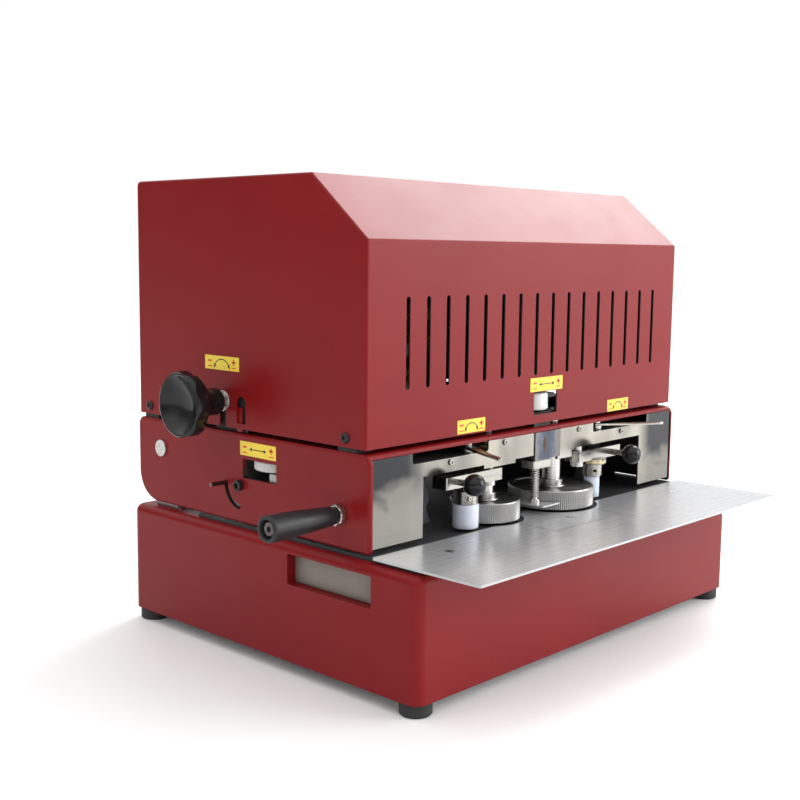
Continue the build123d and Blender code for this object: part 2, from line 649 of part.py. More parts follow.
WHEELS = (
    ("left", LEFT_WHEEL, LEFT_WHEEL_RADIUS, 7.5, 5.0, LEFT_PULLEY_RADIUS),
    ("right", RIGHT_WHEEL, RIGHT_WHEEL_RADIUS, 9.3, 6.0, RIGHT_PULLEY_RADIUS),
)
for side_name, (x, y), radius, sleeve, spindle, pulley in WHEELS:
    with BuildPart() as feed_wheel:
        with BuildSketch(Plane.XY.offset(WHEEL_BOTTOM)):
            with Locations((x, y)):
                Circle(radius)
                Circle(spindle + 0.02, mode=Mode.SUBTRACT)
        extrude(amount=WHEEL_TOP - WHEEL_BOTTOM)
        rims = feed_wheel.edges().filter_by(GeomType.CIRCLE).sort_by(SortBy.RADIUS)[-2:]
        chamfer(rims, length=0.8)
        with BuildSketch(Plane.XY.offset(WHEEL_TOP - 1.2)):
            with Locations((x, y)):
                Circle(radius - 4)
                Circle(sleeve + 5, mode=Mode.SUBTRACT)
        extrude(amount=2, mode=Mode.SUBTRACT)
    feed_wheel.part.label = f"{side_name}_feed_wheel"
    export_step(feed_wheel.part, f"parts/{side_name}_feed_wheel.step")

    # The spindle with its sleeve, the clamped collar and the toothed pulley.
    with BuildPart() as wheel_shaft:
        with BuildSketch(Plane.XY.offset(WHEEL_BOTTOM)):
            with Locations((x, y)):
                Circle(spindle)
        extrude(amount=BELT_BOTTOM + BELT_HEIGHT + 1.5 - WHEEL_BOTTOM)
        with BuildSketch(Plane.XY.offset(WHEEL_TOP + 5.6)):
            with Locations((x, y)):
                Circle(sleeve)
        extrude(amount=27)
        with BuildSketch(Plane.XY.offset(WHEEL_TOP)):
            with Locations((x, y)):
                Circle(sleeve + 2.6)
                Circle(spindle + 0.02, mode=Mode.SUBTRACT)
        extrude(amount=5.5)
        with BuildSketch(Plane.XY.offset(BELT_BOTTOM)):
            with Locations((x, y)):
                Circle(pulley)
                Circle(spindle + 0.02, mode=Mode.SUBTRACT)
        extrude(amount=BELT_HEIGHT)
    wheel_shaft.part.label = f"{side_name}_wheel_shaft"
    export_step(wheel_shaft.part, f"parts/{side_name}_wheel_shaft.step")

# The pulley, the shaft through the gearbox and the rotor inside the motor can.
MOTOR_SHAFT_RADIUS = 4.0
MOTOR_PLATE = 224.0
GEARBOX_BOTTOM = MOTOR_PLATE + 4
GEARBOX_HEIGHT = 34.0
CAN_BOTTOM = GEARBOX_BOTTOM + GEARBOX_HEIGHT
CAN_RADIUS = 29.0
CAN_HEIGHT = 72.0
CAN_WALL = 5.0
ROTOR_RADIUS = 22.0
ROTOR_BOTTOM = CAN_BOTTOM + CAN_WALL + 3
ROTOR_HEIGHT = 54.0
with BuildPart() as motor_pulley:
    with BuildSketch(Plane.XY.offset(BELT_BOTTOM)):
        with Locations(MOTOR_AXIS):
            Circle(RIGHT_PULLEY_RADIUS)
    extrude(amount=BELT_HEIGHT)
    with BuildSketch(Plane.XY.offset(BELT_BOTTOM)):
        with Locations(MOTOR_AXIS):
            Circle(MOTOR_SHAFT_RADIUS)
    extrude(amount=ROTOR_BOTTOM - BELT_BOTTOM)
    with BuildSketch(Plane.XY.offset(ROTOR_BOTTOM)):
        with Locations(MOTOR_AXIS):
            Circle(ROTOR_RADIUS)
    extrude(amount=ROTOR_HEIGHT)
motor_pulley.part.label = "motor_pulley"
export_step(motor_pulley.part, "parts/motor_pulley.step")

BELT_GAP = 0.3
BELT_THICKNESS = 1.2
PULLEYS = ((LEFT_WHEEL, LEFT_PULLEY_RADIUS), (RIGHT_WHEEL, RIGHT_PULLEY_RADIUS), (MOTOR_AXIS, RIGHT_PULLEY_RADIUS))
with BuildPart() as drive_belt:
    with BuildSketch(Plane.XY.offset(BELT_BOTTOM)):
        with BuildSketch(Plane.XY.offset(BELT_BOTTOM), mode=Mode.PRIVATE) as belt_inside:
            for centre, radius in PULLEYS:
                with Locations(centre):
                    Circle(radius + BELT_GAP)
            make_hull()
        with BuildSketch(Plane.XY.offset(BELT_BOTTOM), mode=Mode.PRIVATE) as belt_outside:
            for centre, radius in PULLEYS:
                with Locations(centre):
                    Circle(radius + BELT_GAP + BELT_THICKNESS)
            make_hull()
        add(belt_outside.sketch_local)
        add(belt_inside.sketch_local, mode=Mode.SUBTRACT)
    extrude(amount=BELT_HEIGHT)
drive_belt.part.label = "drive_belt"
export_step(drive_belt.part, "parts/drive_belt.step")

STANDOFFS = [(92, -62), (92, 2), (28, 2), (40, -66)]
with BuildPart() as motor_mount:
    with BuildSketch(Plane.XY.offset(MOTOR_PLATE)):
        with Locations((62, -32)):
            RectangleRounded(76, 80, 4)
        with Locations(MOTOR_AXIS):
            Circle(9, mode=Mode.SUBTRACT)
    extrude(amount=4)
    with BuildSketch(Plane.XY.offset(WEB_TOP)):
        with Locations(*STANDOFFS):
            Circle(5)
    extrude(amount=MOTOR_PLATE - WEB_TOP)
motor_mount.part.label = "motor_mount"
export_step(motor_mount.part, "parts/motor_mount.step")

# Gearbox below, motor above it, both hollow where the shaft and the rotor turn.
with BuildPart() as drive_motor:
    with BuildSketch(Plane.XY.offset(GEARBOX_BOTTOM)):
        with Locations(MOTOR_AXIS):
            RectangleRounded(60, 60, 5)
    extrude(amount=GEARBOX_HEIGHT)
    with BuildSketch(Plane.XY.offset(CAN_BOTTOM)):
        with Locations(MOTOR_AXIS):
            Circle(CAN_RADIUS)
    extrude(amount=CAN_HEIGHT)
    fillet(drive_motor.edges().group_by(Axis.Z)[-1], radius=4)
    with BuildSketch(Plane.XY.offset(GEARBOX_BOTTOM)):
        with Locations(MOTOR_AXIS):
            Circle(MOTOR_SHAFT_RADIUS + SLIP)
    extrude(amount=GEARBOX_HEIGHT + CAN_WALL, mode=Mode.SUBTRACT)
    with BuildSketch(Plane.XY.offset(CAN_BOTTOM + CAN_WALL)):
        with Locations(MOTOR_AXIS):
            Circle(CAN_RADIUS - CAN_WALL)
    extrude(amount=CAN_HEIGHT - 2 * CAN_WALL, mode=Mode.SUBTRACT)
drive_motor.part.label = "drive_motor"
export_step(drive_motor.part, "parts/drive_motor.step")

# ================================================================ pressure arms
# The outer radius, the axle and the place of each arm's parts, left then right.
ARMS = (
    ("left", -1, LEFT_ARM_PIVOT, -144.0, (-107.0, ARM_Y), 12.0, -130.0, 20.0),
    ("right", 1, RIGHT_ARM_PIVOT, 134.0, (94.0, ARM_Y - 1), 8.0, 111.0, 28.0),
)
for side_name, side, pivot_x, end_x, roller, roller_radius, rod_x, rod_length in ARMS:
    roller_top = 147.0
    arm_front = ARM_Y - ARM_WIDTH / 2
    # The arm, the rod of its ball knob and the roller's collar with its axle.
    with BuildPart() as arm:
        with BuildSketch(Plane.XY.offset(ARM_BOTTOM)):
            with Locations(((pivot_x + end_x - side * ARM_WIDTH / 2) / 2, ARM_Y)):
                Rectangle(abs(end_x - pivot_x) + ARM_WIDTH / 2, ARM_WIDTH)
            with Locations((pivot_x, ARM_Y)):
                Circle(4 + SLIP, mode=Mode.SUBTRACT)
        extrude(amount=ARM_TOP - ARM_BOTTOM)
        end_edges = arm.edges().filter_by(Axis.Z).filter_by_position(Axis.X, end_x - 1, end_x + 1)
        chamfer(end_edges, length=1)
        with BuildSketch(front_plane(arm_front + 8)):
            with Locations((rod_x, ROD_Z)):
                Circle(3.02)
        extrude(amount=9, mode=Mode.SUBTRACT)
        with BuildSketch(front_plane(arm_front + 7.9)):
            with Locations((rod_x, ROD_Z)):
                Circle(3)
        extrude(amount=rod_length + 4.9)
        with BuildSketch(Plane.XY.offset(roller_top + 0.4)):
            with Locations(roller):
                Circle(11.2 if side < 0 else 10)
        extrude(amount=11.6)
        with BuildSketch(Plane.XY.offset(roller_top + 12)):
            with Locations(roller):
                Circle(6.5)
        extrude(amount=ARM_BOTTOM - roller_top - 12.05)
        if side > 0:
            with BuildSketch(Plane.XY.offset(ARM_BOTTOM - 5)):
                with Locations(roller):
                    Circle(14)
            extrude(amount=4.95)
        with BuildSketch(Plane.XY.offset(WHEEL_BOTTOM + 1.5)):
            with Locations(roller):
                Circle(3)
        extrude(amount=roller_top - WHEEL_BOTTOM)
        with BuildSketch(front_plane(roller[1])):
            with Locations((roller[0] - 6, roller_top + 6)):
                Circle(1.6)
        extrude(amount=12, mode=Mode.SUBTRACT)
    arm.part.label = f"{side_name}_arm"
    export_step(arm.part, f"parts/{side_name}_arm.step")

    with BuildPart() as ball_knob:
        with Locations((rod_x, arm_front - rod_length, ROD_Z)):
            Sphere(BALL_RADIUS)
        with BuildSketch(front_plane(arm_front - rod_length + 13)):
            with Locations((rod_x, ROD_Z)):
                Rectangle(30, 30)
        extrude(amount=4.5, mode=Mode.SUBTRACT)
        with BuildSketch(front_plane(arm_front - rod_length + 12)):
            with Locations((rod_x, ROD_Z)):
                Circle(3.02)
        extrude(amount=15.2, mode=Mode.SUBTRACT)
    ball_knob.part.label = f"{side_name}_ball_knob"
    export_step(ball_knob.part, f"parts/{side_name}_ball_knob.step")

    with BuildPart() as guide_roller:
        with BuildSketch(Plane.XY.offset(WHEEL_BOTTOM + 0.2)):
            with Locations(roller):
                Circle(roller_radius)
                Circle(3 + SLIP, mode=Mode.SUBTRACT)
        extrude(amount=roller_top - WHEEL_BOTTOM - 0.2)
        rims = guide_roller.edges().filter_by(GeomType.CIRCLE).sort_by(SortBy.RADIUS)[-2:]
        chamfer(rims, length=0.6)
    guide_roller.part.label = f"{side_name}_guide_roller"
    export_step(guide_roller.part, f"parts/{side_name}_guide_roller.step")

# Shoulder bolts of the arms with their torsion springs, and the studs of the levers.
LEVERS = (("left", (-101.0, -119.0), 27.0), ("right", (107.0, -119.0), -53.0))
with BuildPart() as pivot_pins:
    for x in (ARMS[0][2], ARMS[1][2]):
        with BuildSketch(Plane.XY.offset(ARM_BOTTOM - 0.3)):
            with Locations((x, ARM_Y)):
                Circle(4)
        extrude(amount=WEB_TOP - ARM_BOTTOM + 0.3)
        with BuildSketch(Plane.XY.offset(ARM_BOTTOM - 5.3)):
            with Locations((x, ARM_Y)):
                Circle(6.5)
        extrude(amount=5)
        with BuildSketch(Plane.XY.offset(ARM_BOTTOM - 5.3)):
            with Locations((x, ARM_Y)):
                RegularPolygon(2.9, 6)
        extrude(amount=3, mode=Mode.SUBTRACT)
        with BuildSketch(Plane.XY.offset(ARM_TOP + 0.4)):
            with Locations((x, ARM_Y)):
                Circle(4.9)
                Circle(4.1, mode=Mode.SUBTRACT)
        extrude(amount=WEB_BOTTOM - ARM_TOP - 0.6)
    for name, pivot, turn in LEVERS:
        with BuildSketch(Plane.XY.offset(WEB_TOP)):
            with Locations(pivot):
                Circle(3)
        extrude(amount=9.5)
        with BuildSketch(Plane.XY.offset(WEB_TOP)):
            with Locations(pivot):
                Circle(6)
        extrude(amount=4)
        with BuildSketch(Plane.XY.offset(LEVER_BOTTOM + LEVER_THICKNESS + 0.3)):
            with Locations(pivot):
                Circle(4.5)
        extrude(amount=2.4)
pivot_pins.part.label = "pivot_pins"
export_step(pivot_pins.part, "parts/pivot_pins.step")

# ---------------------------------------------------------------- cast guards beside the wheels
GUARD_Y = (-98.0, -78.0)
with BuildPart() as side_guards:
    for side in MIRRORED:
        with BuildSketch(front_plane(GUARD_Y[1])):
            with BuildLine():
                Line((side * 128, WEB_BOTTOM), (side * 146, WEB_BOTTOM))
                ThreePointArc((side * 146, WEB_BOTTOM), (side * 150, 160), (side * 140, 128))
                Line((side * 140, 128), (side * 126, 128))
                ThreePointArc((side * 126, 128), (side * 135, 160), (side * 128, WEB_BOTTOM))
            make_face()
            with Locations((side * 139, 152)):
                Circle(10)
        extrude(amount=GUARD_Y[1] - GUARD_Y[0])
        with BuildSketch(x_plane(side * 190 - 60)):
            with Locations(((GUARD_Y[0] + GUARD_Y[1]) / 2, 152)):
                Circle(2.55)
        extrude(amount=120, mode=Mode.SUBTRACT)
side_guards.part.label = "side_guards"
export_step(side_guards.part, "parts/side_guards.step")

with BuildPart() as guard_rods:
    for side in MIRRORED:
        with BuildSketch(x_plane(side * 187.5 - 48.5)):
            with Locations(((GUARD_Y[0] + GUARD_Y[1]) / 2, 152)):
                Circle(2.5)
        extrude(amount=97)
guard_rods.part.label = "guard_rods"
export_step(guard_rods.part, "parts/guard_rods.step")

# ================================================================ levers over the trim
for side_name, pivot, turn in LEVERS:
    with BuildPart() as lever:
        lever_plane = Plane(origin=(*pivot, LEVER_BOTTOM), z_dir=(0, 0, 1)).rotated((0, 0, -turn))
        with BuildSketch(lever_plane):
            Circle(7)
            with BuildLine():
                Line((-6, 0), (-2, -LEVER_LENGTH + 2))
                ThreePointArc((-2, -LEVER_LENGTH + 2), (0, -LEVER_LENGTH), (2, -LEVER_LENGTH + 2))
                Line((2, -LEVER_LENGTH + 2), (6, 0))
                Line((6, 0), (-6, 0))
            make_face()
            Circle(3 + SLIP, mode=Mode.SUBTRACT)
        extrude(amount=LEVER_THICKNESS)
        top_edges = lever.edges().group_by(Axis.Z)[-1]
        fillet(top_edges.filter_by(GeomType.LINE), radius=0.8)
    lever.part.label = f"{side_name}_lever"
    export_step(lever.part, f"parts/{side_name}_lever.step")

# The start switch behind the trim and the potentiometer over the speed dial.
with BuildPart() as inner_controls:
    with BuildSketch(Plane.XY.offset(WEB_TOP)):
        with Locations((80, -118)):
            RectangleRounded(16, 9, 2)
    extrude(amount=9.5)
    with BuildSketch(Plane.XY.offset(WEB_TOP)):
        with Locations(DIAL):
            Circle(12)
            Circle(3 + SLIP, mode=Mode.SUBTRACT)
    extrude(amount=7)
    with BuildSketch(Plane.XY.offset(WEB_TOP + 7)):
        with Locations(DIAL):
            Circle(12)
    extrude(amount=3)
inner_controls.part.label = "inner_controls"
export_step(inner_controls.part, "parts/inner_controls.step")

# ================================================================ heated block and presser
BLOCK = (-14.0, 27.0)
BLOCK_Y = (-131.5, -100.0)
POCKET_FLOOR = 189.5
with BuildPart() as heater_block:
    with BuildSketch(Plane.XY.offset(ARM_TOP)):
        with Locations(((BLOCK[0] + BLOCK[1]) / 2, (BLOCK_Y[0] + BLOCK_Y[1]) / 2)):
            Rectangle(BLOCK[1] - BLOCK[0], BLOCK_Y[1] - BLOCK_Y[0])
    extrude(amount=POCKET_FLOOR - ARM_TOP)
    with BuildSketch(Plane.XY.offset(POCKET_FLOOR)):
        with Locations(((BLOCK[0] + BLOCK[1]) / 2, BLOCK_Y[0] + 0.5)):
            Rectangle(BLOCK[1] - BLOCK[0], 1)
    extrude(amount=202.8 - POCKET_FLOOR)
    with BuildSketch(Plane.XY.offset(ARM_TOP)):
        with Locations(PRESSER):
            Circle(2.7 + SLIP)
        with Locations(HEIGHT_SCREW):
            Circle(4.3)
    extrude(amount=30, mode=Mode.SUBTRACT)
    with BuildSketch(front_plane(BLOCK_Y[1])):
        with Locations((19, 180.8)):
            Circle(4.05)
    extrude(amount=26, mode=Mode.SUBTRACT)
heater_block.part.label = "heater_block"
export_step(heater_block.part, "parts/heater_block.step")

with BuildPart() as heater_cartridge:
    with BuildSketch(front_plane(BLOCK_Y[1] + 4)):
        with Locations((19, 180.8)):
            Circle(4)
    extrude(amount=29)
heater_cartridge.part.label = "heater_cartridge"
export_step(heater_cartridge.part, "parts/heater_cartridge.step")

GUIDE_BOTTOM = 168.5
# The presser's guide block and, beside it, the thin stop plate of the right arm.
with BuildPart() as presser_guide:
    with BuildSketch(Plane.XY.offset(GUIDE_BOTTOM)):
        with Locations((-6, PRESSER[1])):
            Rectangle(28, 15)
        with Locations(PRESSER):
            Circle(2.7 + SLIP, mode=Mode.SUBTRACT)
    extrude(amount=ARM_TOP - GUIDE_BOTTOM)
    chamfer(presser_guide.edges().filter_by(Axis.Z).sort_by(Axis.Y)[:2], length=1)
    with BuildSketch(Plane.XY.offset(172)):
        with Locations((39.5, -126.8)):
            Rectangle(24, 3)
    extrude(amount=WEB_BOTTOM - 172)
presser_guide.part.label = "presser_guide"
export_step(presser_guide.part, "parts/presser_guide.step")

FOOT_BOTTOM = 132.0
YOKE_BOTTOM = 197.0
# The rod with its collar below and, on top, the yoke that the height screw carries.
with BuildPart() as presser_rod:
    with BuildSketch(Plane.XY.offset(FOOT_BOTTOM + 1.5)):
        with Locations(PRESSER):
            Circle(2.7)
    extrude(amount=YOKE_BOTTOM - FOOT_BOTTOM - 1.5)
    with BuildSketch(Plane.XY.offset(FOOT_BOTTOM + 1.5)):
        with Locations(PRESSER):
            Circle(5.2)
            Circle(2.72, mode=Mode.SUBTRACT)
    extrude(amount=4)
    with BuildSketch(Plane.XY.offset(YOKE_BOTTOM)):
        with BuildSketch(Plane.XY.offset(YOKE_BOTTOM), mode=Mode.PRIVATE) as yoke_outline:
            with Locations(PRESSER):
                Circle(2.7)
            with Locations(HEIGHT_SCREW):
                Circle(7)
            make_hull()
        add(yoke_outline.sketch_local)
        with Locations(HEIGHT_SCREW):
            Circle(4 + SLIP, mode=Mode.SUBTRACT)
    extrude(amount=3)
presser_rod.part.label = "presser_rod"
export_step(presser_rod.part, "parts/presser_rod.step")

with BuildPart() as presser_foot:
    with BuildSketch(Plane.XY.offset(FOOT_BOTTOM)):
        with Locations((2.5, -128.75)):
            RectangleRounded(39, 31.5, 1.5)
        with Locations(RIGHT_WHEEL):
            Circle(RIGHT_WHEEL_RADIUS + 2.5, mode=Mode.SUBTRACT)
    extrude(amount=1.5)
presser_foot.part.label = "presser_foot"
export_step(presser_foot.part, "parts/presser_foot.step")

# The spring is one closed sleeve over its coils' space.
with BuildPart() as presser_spring:
    with BuildSketch(Plane.XY.offset(FOOT_BOTTOM + 5.9)):
        with Locations(PRESSER):
            Circle(4.5)
            Circle(3.3, mode=Mode.SUBTRACT)
    extrude(amount=GUIDE_BOTTOM - FOOT_BOTTOM - 6.3)
presser_spring.part.label = "presser_spring"
export_step(presser_spring.part, "parts/presser_spring.step")

# The numbered thumbwheel in the hood's window and the screw that it turns.
with BuildPart() as height_wheel:
    with BuildSketch(Plane.XY.offset(222.5)):
        with Locations(HEIGHT_SCREW):
            Circle(17)
            Circle(4.02, mode=Mode.SUBTRACT)
    extrude(amount=17)
    rims = height_wheel.edges().filter_by(GeomType.CIRCLE).sort_by(SortBy.RADIUS)[-2:]
    chamfer(rims, length=1.5)
    with BuildSketch(Plane.XY.offset(191)):
        with Locations(HEIGHT_SCREW):
            Circle(4)
    extrude(amount=45)
height_wheel.part.label = "height_wheel"
export_step(height_wheel.part, "parts/height_wheel.step")

# ================================================================ foil reels and the tension knob
REEL_X = (-12.0, 12.0)
REEL_PLATE_X = 20.0
with BuildPart() as reel_plate:
    with BuildSketch(x_plane(REEL_PLATE_X)):
        with Locations((58, 272)):
            RectangleRounded(84, 158, 6)
        with Locations((KNOB_Y, KNOB_Z), (TAKEUP_Y, TAKEUP_Z)):
            Circle(4 + SLIP, mode=Mode.SUBTRACT)
    extrude(amount=4)
    with BuildSketch(Plane.XY.offset(WEB_TOP)):
        with Locations((REEL_PLATE_X + 10, 60)):
            Rectangle(20, 70)
    extrude(amount=3)
reel_plate.part.label = "reel_plate"
export_step(reel_plate.part, "parts/reel_plate.step")

# Each reel is a hub with two flanges and the foil wound on it.
REELS = (("supply", KNOB_Y, KNOB_Z, 27.0, 23.0), ("takeup", TAKEUP_Y, TAKEUP_Z, 32.0, 18.0))
for reel_name, y, z, flange, foil in REELS:
    with BuildPart() as reel:
        for x in (REEL_X[0], REEL_X[1] - 2):
            with BuildSketch(x_plane(x)):
                with Locations((y, z)):
                    Circle(flange)
                    Circle(4 + SLIP, mode=Mode.SUBTRACT)
            extrude(amount=2)
        with BuildSketch(x_plane(REEL_X[0] + 2)):
            with Locations((y, z)):
                Circle(10)
                Circle(4 + SLIP, mode=Mode.SUBTRACT)
        extrude(amount=20)
        with BuildSketch(x_plane(REEL_X[0] + 2.3)):
            with Locations((y, z)):
                Circle(foil)
                Circle(10.05, mode=Mode.SUBTRACT)
        extrude(amount=19.4)
        if reel_name == "takeup":
            with BuildSketch(x_plane(REEL_X[0] - 4)):
                with Locations((y, z)):
                    Circle(4)
            extrude(amount=REEL_PLATE_X + 4 - REEL_X[0] + 4)
    reel.part.label = f"{reel_name}_reel"
    export_step(reel.part, f"parts/{reel_name}_reel.step")

with BuildPart() as takeup_motor:
    with BuildSketch(x_plane(REEL_PLATE_X + 4.2)):
        with Locations((TAKEUP_Y, TAKEUP_Z)):
            Circle(18.5)
    extrude(amount=52)
    fillet(takeup_motor.edges().group_by(Axis.X)[-1], radius=2)
takeup_motor.part.label = "takeup_motor"
export_step(takeup_motor.part, "parts/takeup_motor.step")

# Sheet angles on the head frame: four hold the hood, one guides the knob's shaft, and a
# block guides the height screw.
with BuildPart() as inner_brackets:
    for side in MIRRORED:
        with BuildSketch(x_plane(side * 237.1 - 1)):
            for y in SCREW_Y:
                with Locations((y, SCREW_Z)):
                    Rectangle(22, 24)
                    Circle(2.55, mode=Mode.SUBTRACT)
        extrude(amount=2)
        with BuildSketch(Plane.XY.offset(HEAD_TOP)):
            for y in SCREW_Y:
                with Locations((side * 229, y)):
                    Rectangle(18.2, 22)
        extrude(amount=2)
    with BuildSketch(x_plane(-HALF_HEAD + 4)):
        with Locations((KNOB_Y, 230)):
            Rectangle(30, 46)
        with Locations((KNOB_Y, KNOB_Z)):
            Circle(4 + SLIP, mode=Mode.SUBTRACT)
    extrude(amount=3)
    with BuildSketch(Plane.XY.offset(HEAD_TOP)):
        with Locations((-226, KNOB_Y)):
            Rectangle(20, 30)
    extrude(amount=3)
    with BuildSketch(Plane.XY.offset(HEAD_TOP)):
        with Locations((HEIGHT_SCREW[0], -109.5)):
            Rectangle(26, 28)
        with Locations(HEIGHT_SCREW):
            Circle(4 + SLIP, mode=Mode.SUBTRACT)
    extrude(amount=6)
inner_brackets.part.label = "inner_brackets"
export_step(inner_brackets.part, "parts/inner_brackets.step")

with BuildPart() as knob_bush:
    with BuildSketch(x_plane(-HALF_HEAD - 6)):
        with Locations((KNOB_Y, KNOB_Z)):
            RegularPolygon(8.7, 6)
            Circle(4 + SLIP, mode=Mode.SUBTRACT)
    extrude(amount=6)
    with BuildSketch(x_plane(-HALF_HEAD)):
        with Locations((KNOB_Y, KNOB_Z)):
            Circle(4.5)
            Circle(4 + SLIP, mode=Mode.SUBTRACT)
    extrude(amount=4)
knob_bush.part.label = "knob_bush"
export_step(knob_bush.part, "parts/knob_bush.step")

# The cross shaft of the knob, with the brake disc that rubs on the supply reel.
KNOB_BORE_END = -277.0
with BuildPart() as tension_shaft:
    with BuildSketch(x_plane(KNOB_BORE_END + 0.1)):
        with Locations((KNOB_Y, KNOB_Z)):
            Circle(4)
    extrude(amount=REEL_PLATE_X + 5 - KNOB_BORE_END)
    with BuildSketch(x_plane(REEL_X[0] - 4.3)):
        with Locations((KNOB_Y, KNOB_Z)):
            Circle(14)
    extrude(amount=4)
tension_shaft.part.label = "tension_shaft"
export_step(tension_shaft.part, "parts/tension_shaft.step")

# A dished hand knob with a long hub: a profile of x and radius, turned about the shaft.
KNOB_FACE = -291.0
KNOB_RADIUS = 30.8
knob_profile_plane = Plane(origin=(0, KNOB_Y, KNOB_Z), x_dir=(1, 0, 0), z_dir=(0, -1, 0))
with BuildPart() as tension_knob:
    with BuildSketch(knob_profile_plane):
        with BuildLine():
            Polyline((-246.5, 4.02), (-246.5, 12), (-248, 12.5), (-260, 12.5), (-264, 14))
            Spline((-264, 14), (-270, 24), (-276, 30))
            ThreePointArc((-276, 30), (-282, KNOB_RADIUS), (-288, 29.8))
            ThreePointArc((-288, 29.8), (-290.5, 28.2), (KNOB_FACE, 26.2))
            Spline((KNOB_FACE, 26.2), (-284, 18), (-280, 8), (-279.5, 0))
            Line((-279.5, 0), (KNOB_BORE_END, 0))
            Polyline((KNOB_BORE_END, 0), (KNOB_BORE_END, 4.02), (-246.5, 4.02))
        make_face()
    revolve(axis=Axis((0, KNOB_Y, KNOB_Z), (1, 0, 0)))
    with BuildSketch(x_plane(KNOB_FACE - 1)):
        with Locations((KNOB_Y, KNOB_Z)):
            with PolarLocations(KNOB_RADIUS + 11.2, 7):
                Circle(13)
    extrude(amount=24, mode=Mode.SUBTRACT)
tension_knob.part.label = "tension_knob"
export_step(tension_knob.part, "parts/tension_knob.step")

# ================================================================ left side controls
with BuildPart() as arc_lever:
    with BuildSketch(x_plane(-HALF_HEAD + HEAD_WALL + 0.4)):
        with BuildSketch(x_plane(-HALF_HEAD + HEAD_WALL + 0.4), mode=Mode.PRIVATE) as arc_lever_outline:
            with Locations((ARC_Y, ARC_Z)):
                Circle(8)
            with Locations((ARC_Y + ARC_RADIUS, ARC_Z)):
                Circle(4.5)
            make_hull()
        add(arc_lever_outline.sketch_local)
        with Locations((ARC_Y, ARC_Z)):
            Circle(3 + SLIP, mode=Mode.SUBTRACT)
    extrude(amount=3)
    with BuildSketch(x_plane(-HALF_HEAD - 18)):
        with Locations((ARC_Y + ARC_RADIUS, ARC_Z)):
            Circle(2)
    extrude(amount=18 + HEAD_WALL + 0.4)
arc_lever.part.label = "arc_lever"
export_step(arc_lever.part, "parts/arc_lever.step")

with BuildPart() as speed_dial:
    with BuildSketch(Plane.XY.offset(174.5)):
        with Locations(DIAL):
            Circle(26)
    extrude(amount=9)
    chamfer(speed_dial.edges().filter_by(GeomType.CIRCLE), length=0.8)
    with BuildSketch(Plane.XY.offset(183.5)):
        with Locations(DIAL):
            Circle(3)
    extrude(amount=16)
speed_dial.part.label = "speed_dial"
export_step(speed_dial.part, "parts/speed_dial.step")

GRIP_END = -322.0
with BuildPart() as grip_spindle:
    with BuildSketch(x_plane(-HALF_HEAD - 7)):
        with Locations((GRIP_Y, GRIP_Z)):
            RegularPolygon(9.8, 6)
    extrude(amount=7)
    with BuildSketch(x_plane(GRIP_END + 5)):
        with Locations((GRIP_Y, GRIP_Z)):
            Circle(4)
    extrude(amount=-GRIP_END - 5 - HALF_HEAD + 8)
    with BuildSketch(x_plane(GRIP_END + 3)):
        with Locations((GRIP_Y, GRIP_Z)):
            Circle(6)
    extrude(amount=3)
    with BuildSketch(x_plane(GRIP_END + 3)):
        with Locations((GRIP_Y, GRIP_Z)):
            RegularPolygon(2.4, 6)
    extrude(amount=2, mode=Mode.SUBTRACT)
grip_spindle.part.label = "grip_spindle"
export_step(grip_spindle.part, "parts/grip_spindle.step")

grip_profile_plane = Plane(origin=(0, GRIP_Y, GRIP_Z), x_dir=(1, 0, 0), z_dir=(0, -1, 0))
with BuildPart() as grip_sleeve:
    with BuildSketch(grip_profile_plane):
        with BuildLine():
            Polyline((-248, 4.08), (-248, 7.2), (-249, 8))
            Spline((-249, 8), (-275, 9.8), (-305, 11.3), (GRIP_END + 2, 11.5))
            ThreePointArc((GRIP_END + 2, 11.5), (GRIP_END + 0.5, 11), (GRIP_END, 9.5))
            Polyline(
                (GRIP_END, 9.5),
                (GRIP_END, 8),
                (GRIP_END + 7, 7.5),
                (GRIP_END + 7, 4.08),
                (-248, 4.08),
            )
        make_face()
    revolve(axis=Axis((0, GRIP_Y, GRIP_Z), (1, 0, 0)))
grip_sleeve.part.label = "grip_sleeve"
export_step(grip_sleeve.part, "parts/grip_sleeve.step")
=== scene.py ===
"""Looks of the hot foil stamper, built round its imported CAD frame. Metres, row frame."""

import math

import bmesh
import bpy
from mathutils import Matrix, Vector


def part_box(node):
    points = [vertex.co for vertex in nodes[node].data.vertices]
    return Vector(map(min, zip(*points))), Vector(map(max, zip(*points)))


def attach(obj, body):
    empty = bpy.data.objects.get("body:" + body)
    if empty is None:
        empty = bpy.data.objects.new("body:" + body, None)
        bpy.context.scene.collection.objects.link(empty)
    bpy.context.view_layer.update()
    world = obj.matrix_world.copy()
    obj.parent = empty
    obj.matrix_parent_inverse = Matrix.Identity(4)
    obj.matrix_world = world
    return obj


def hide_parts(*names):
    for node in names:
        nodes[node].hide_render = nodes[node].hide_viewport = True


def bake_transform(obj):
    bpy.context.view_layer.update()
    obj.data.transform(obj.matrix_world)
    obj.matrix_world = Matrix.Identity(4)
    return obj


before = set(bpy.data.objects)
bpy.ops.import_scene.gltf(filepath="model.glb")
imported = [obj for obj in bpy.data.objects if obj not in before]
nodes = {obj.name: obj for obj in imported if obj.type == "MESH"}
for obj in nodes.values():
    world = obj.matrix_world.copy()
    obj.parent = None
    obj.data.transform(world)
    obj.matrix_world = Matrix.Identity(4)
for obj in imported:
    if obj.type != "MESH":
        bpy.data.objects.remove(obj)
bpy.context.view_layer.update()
MM = 0.001

# ---------------------------------------------------------------- shader helpers


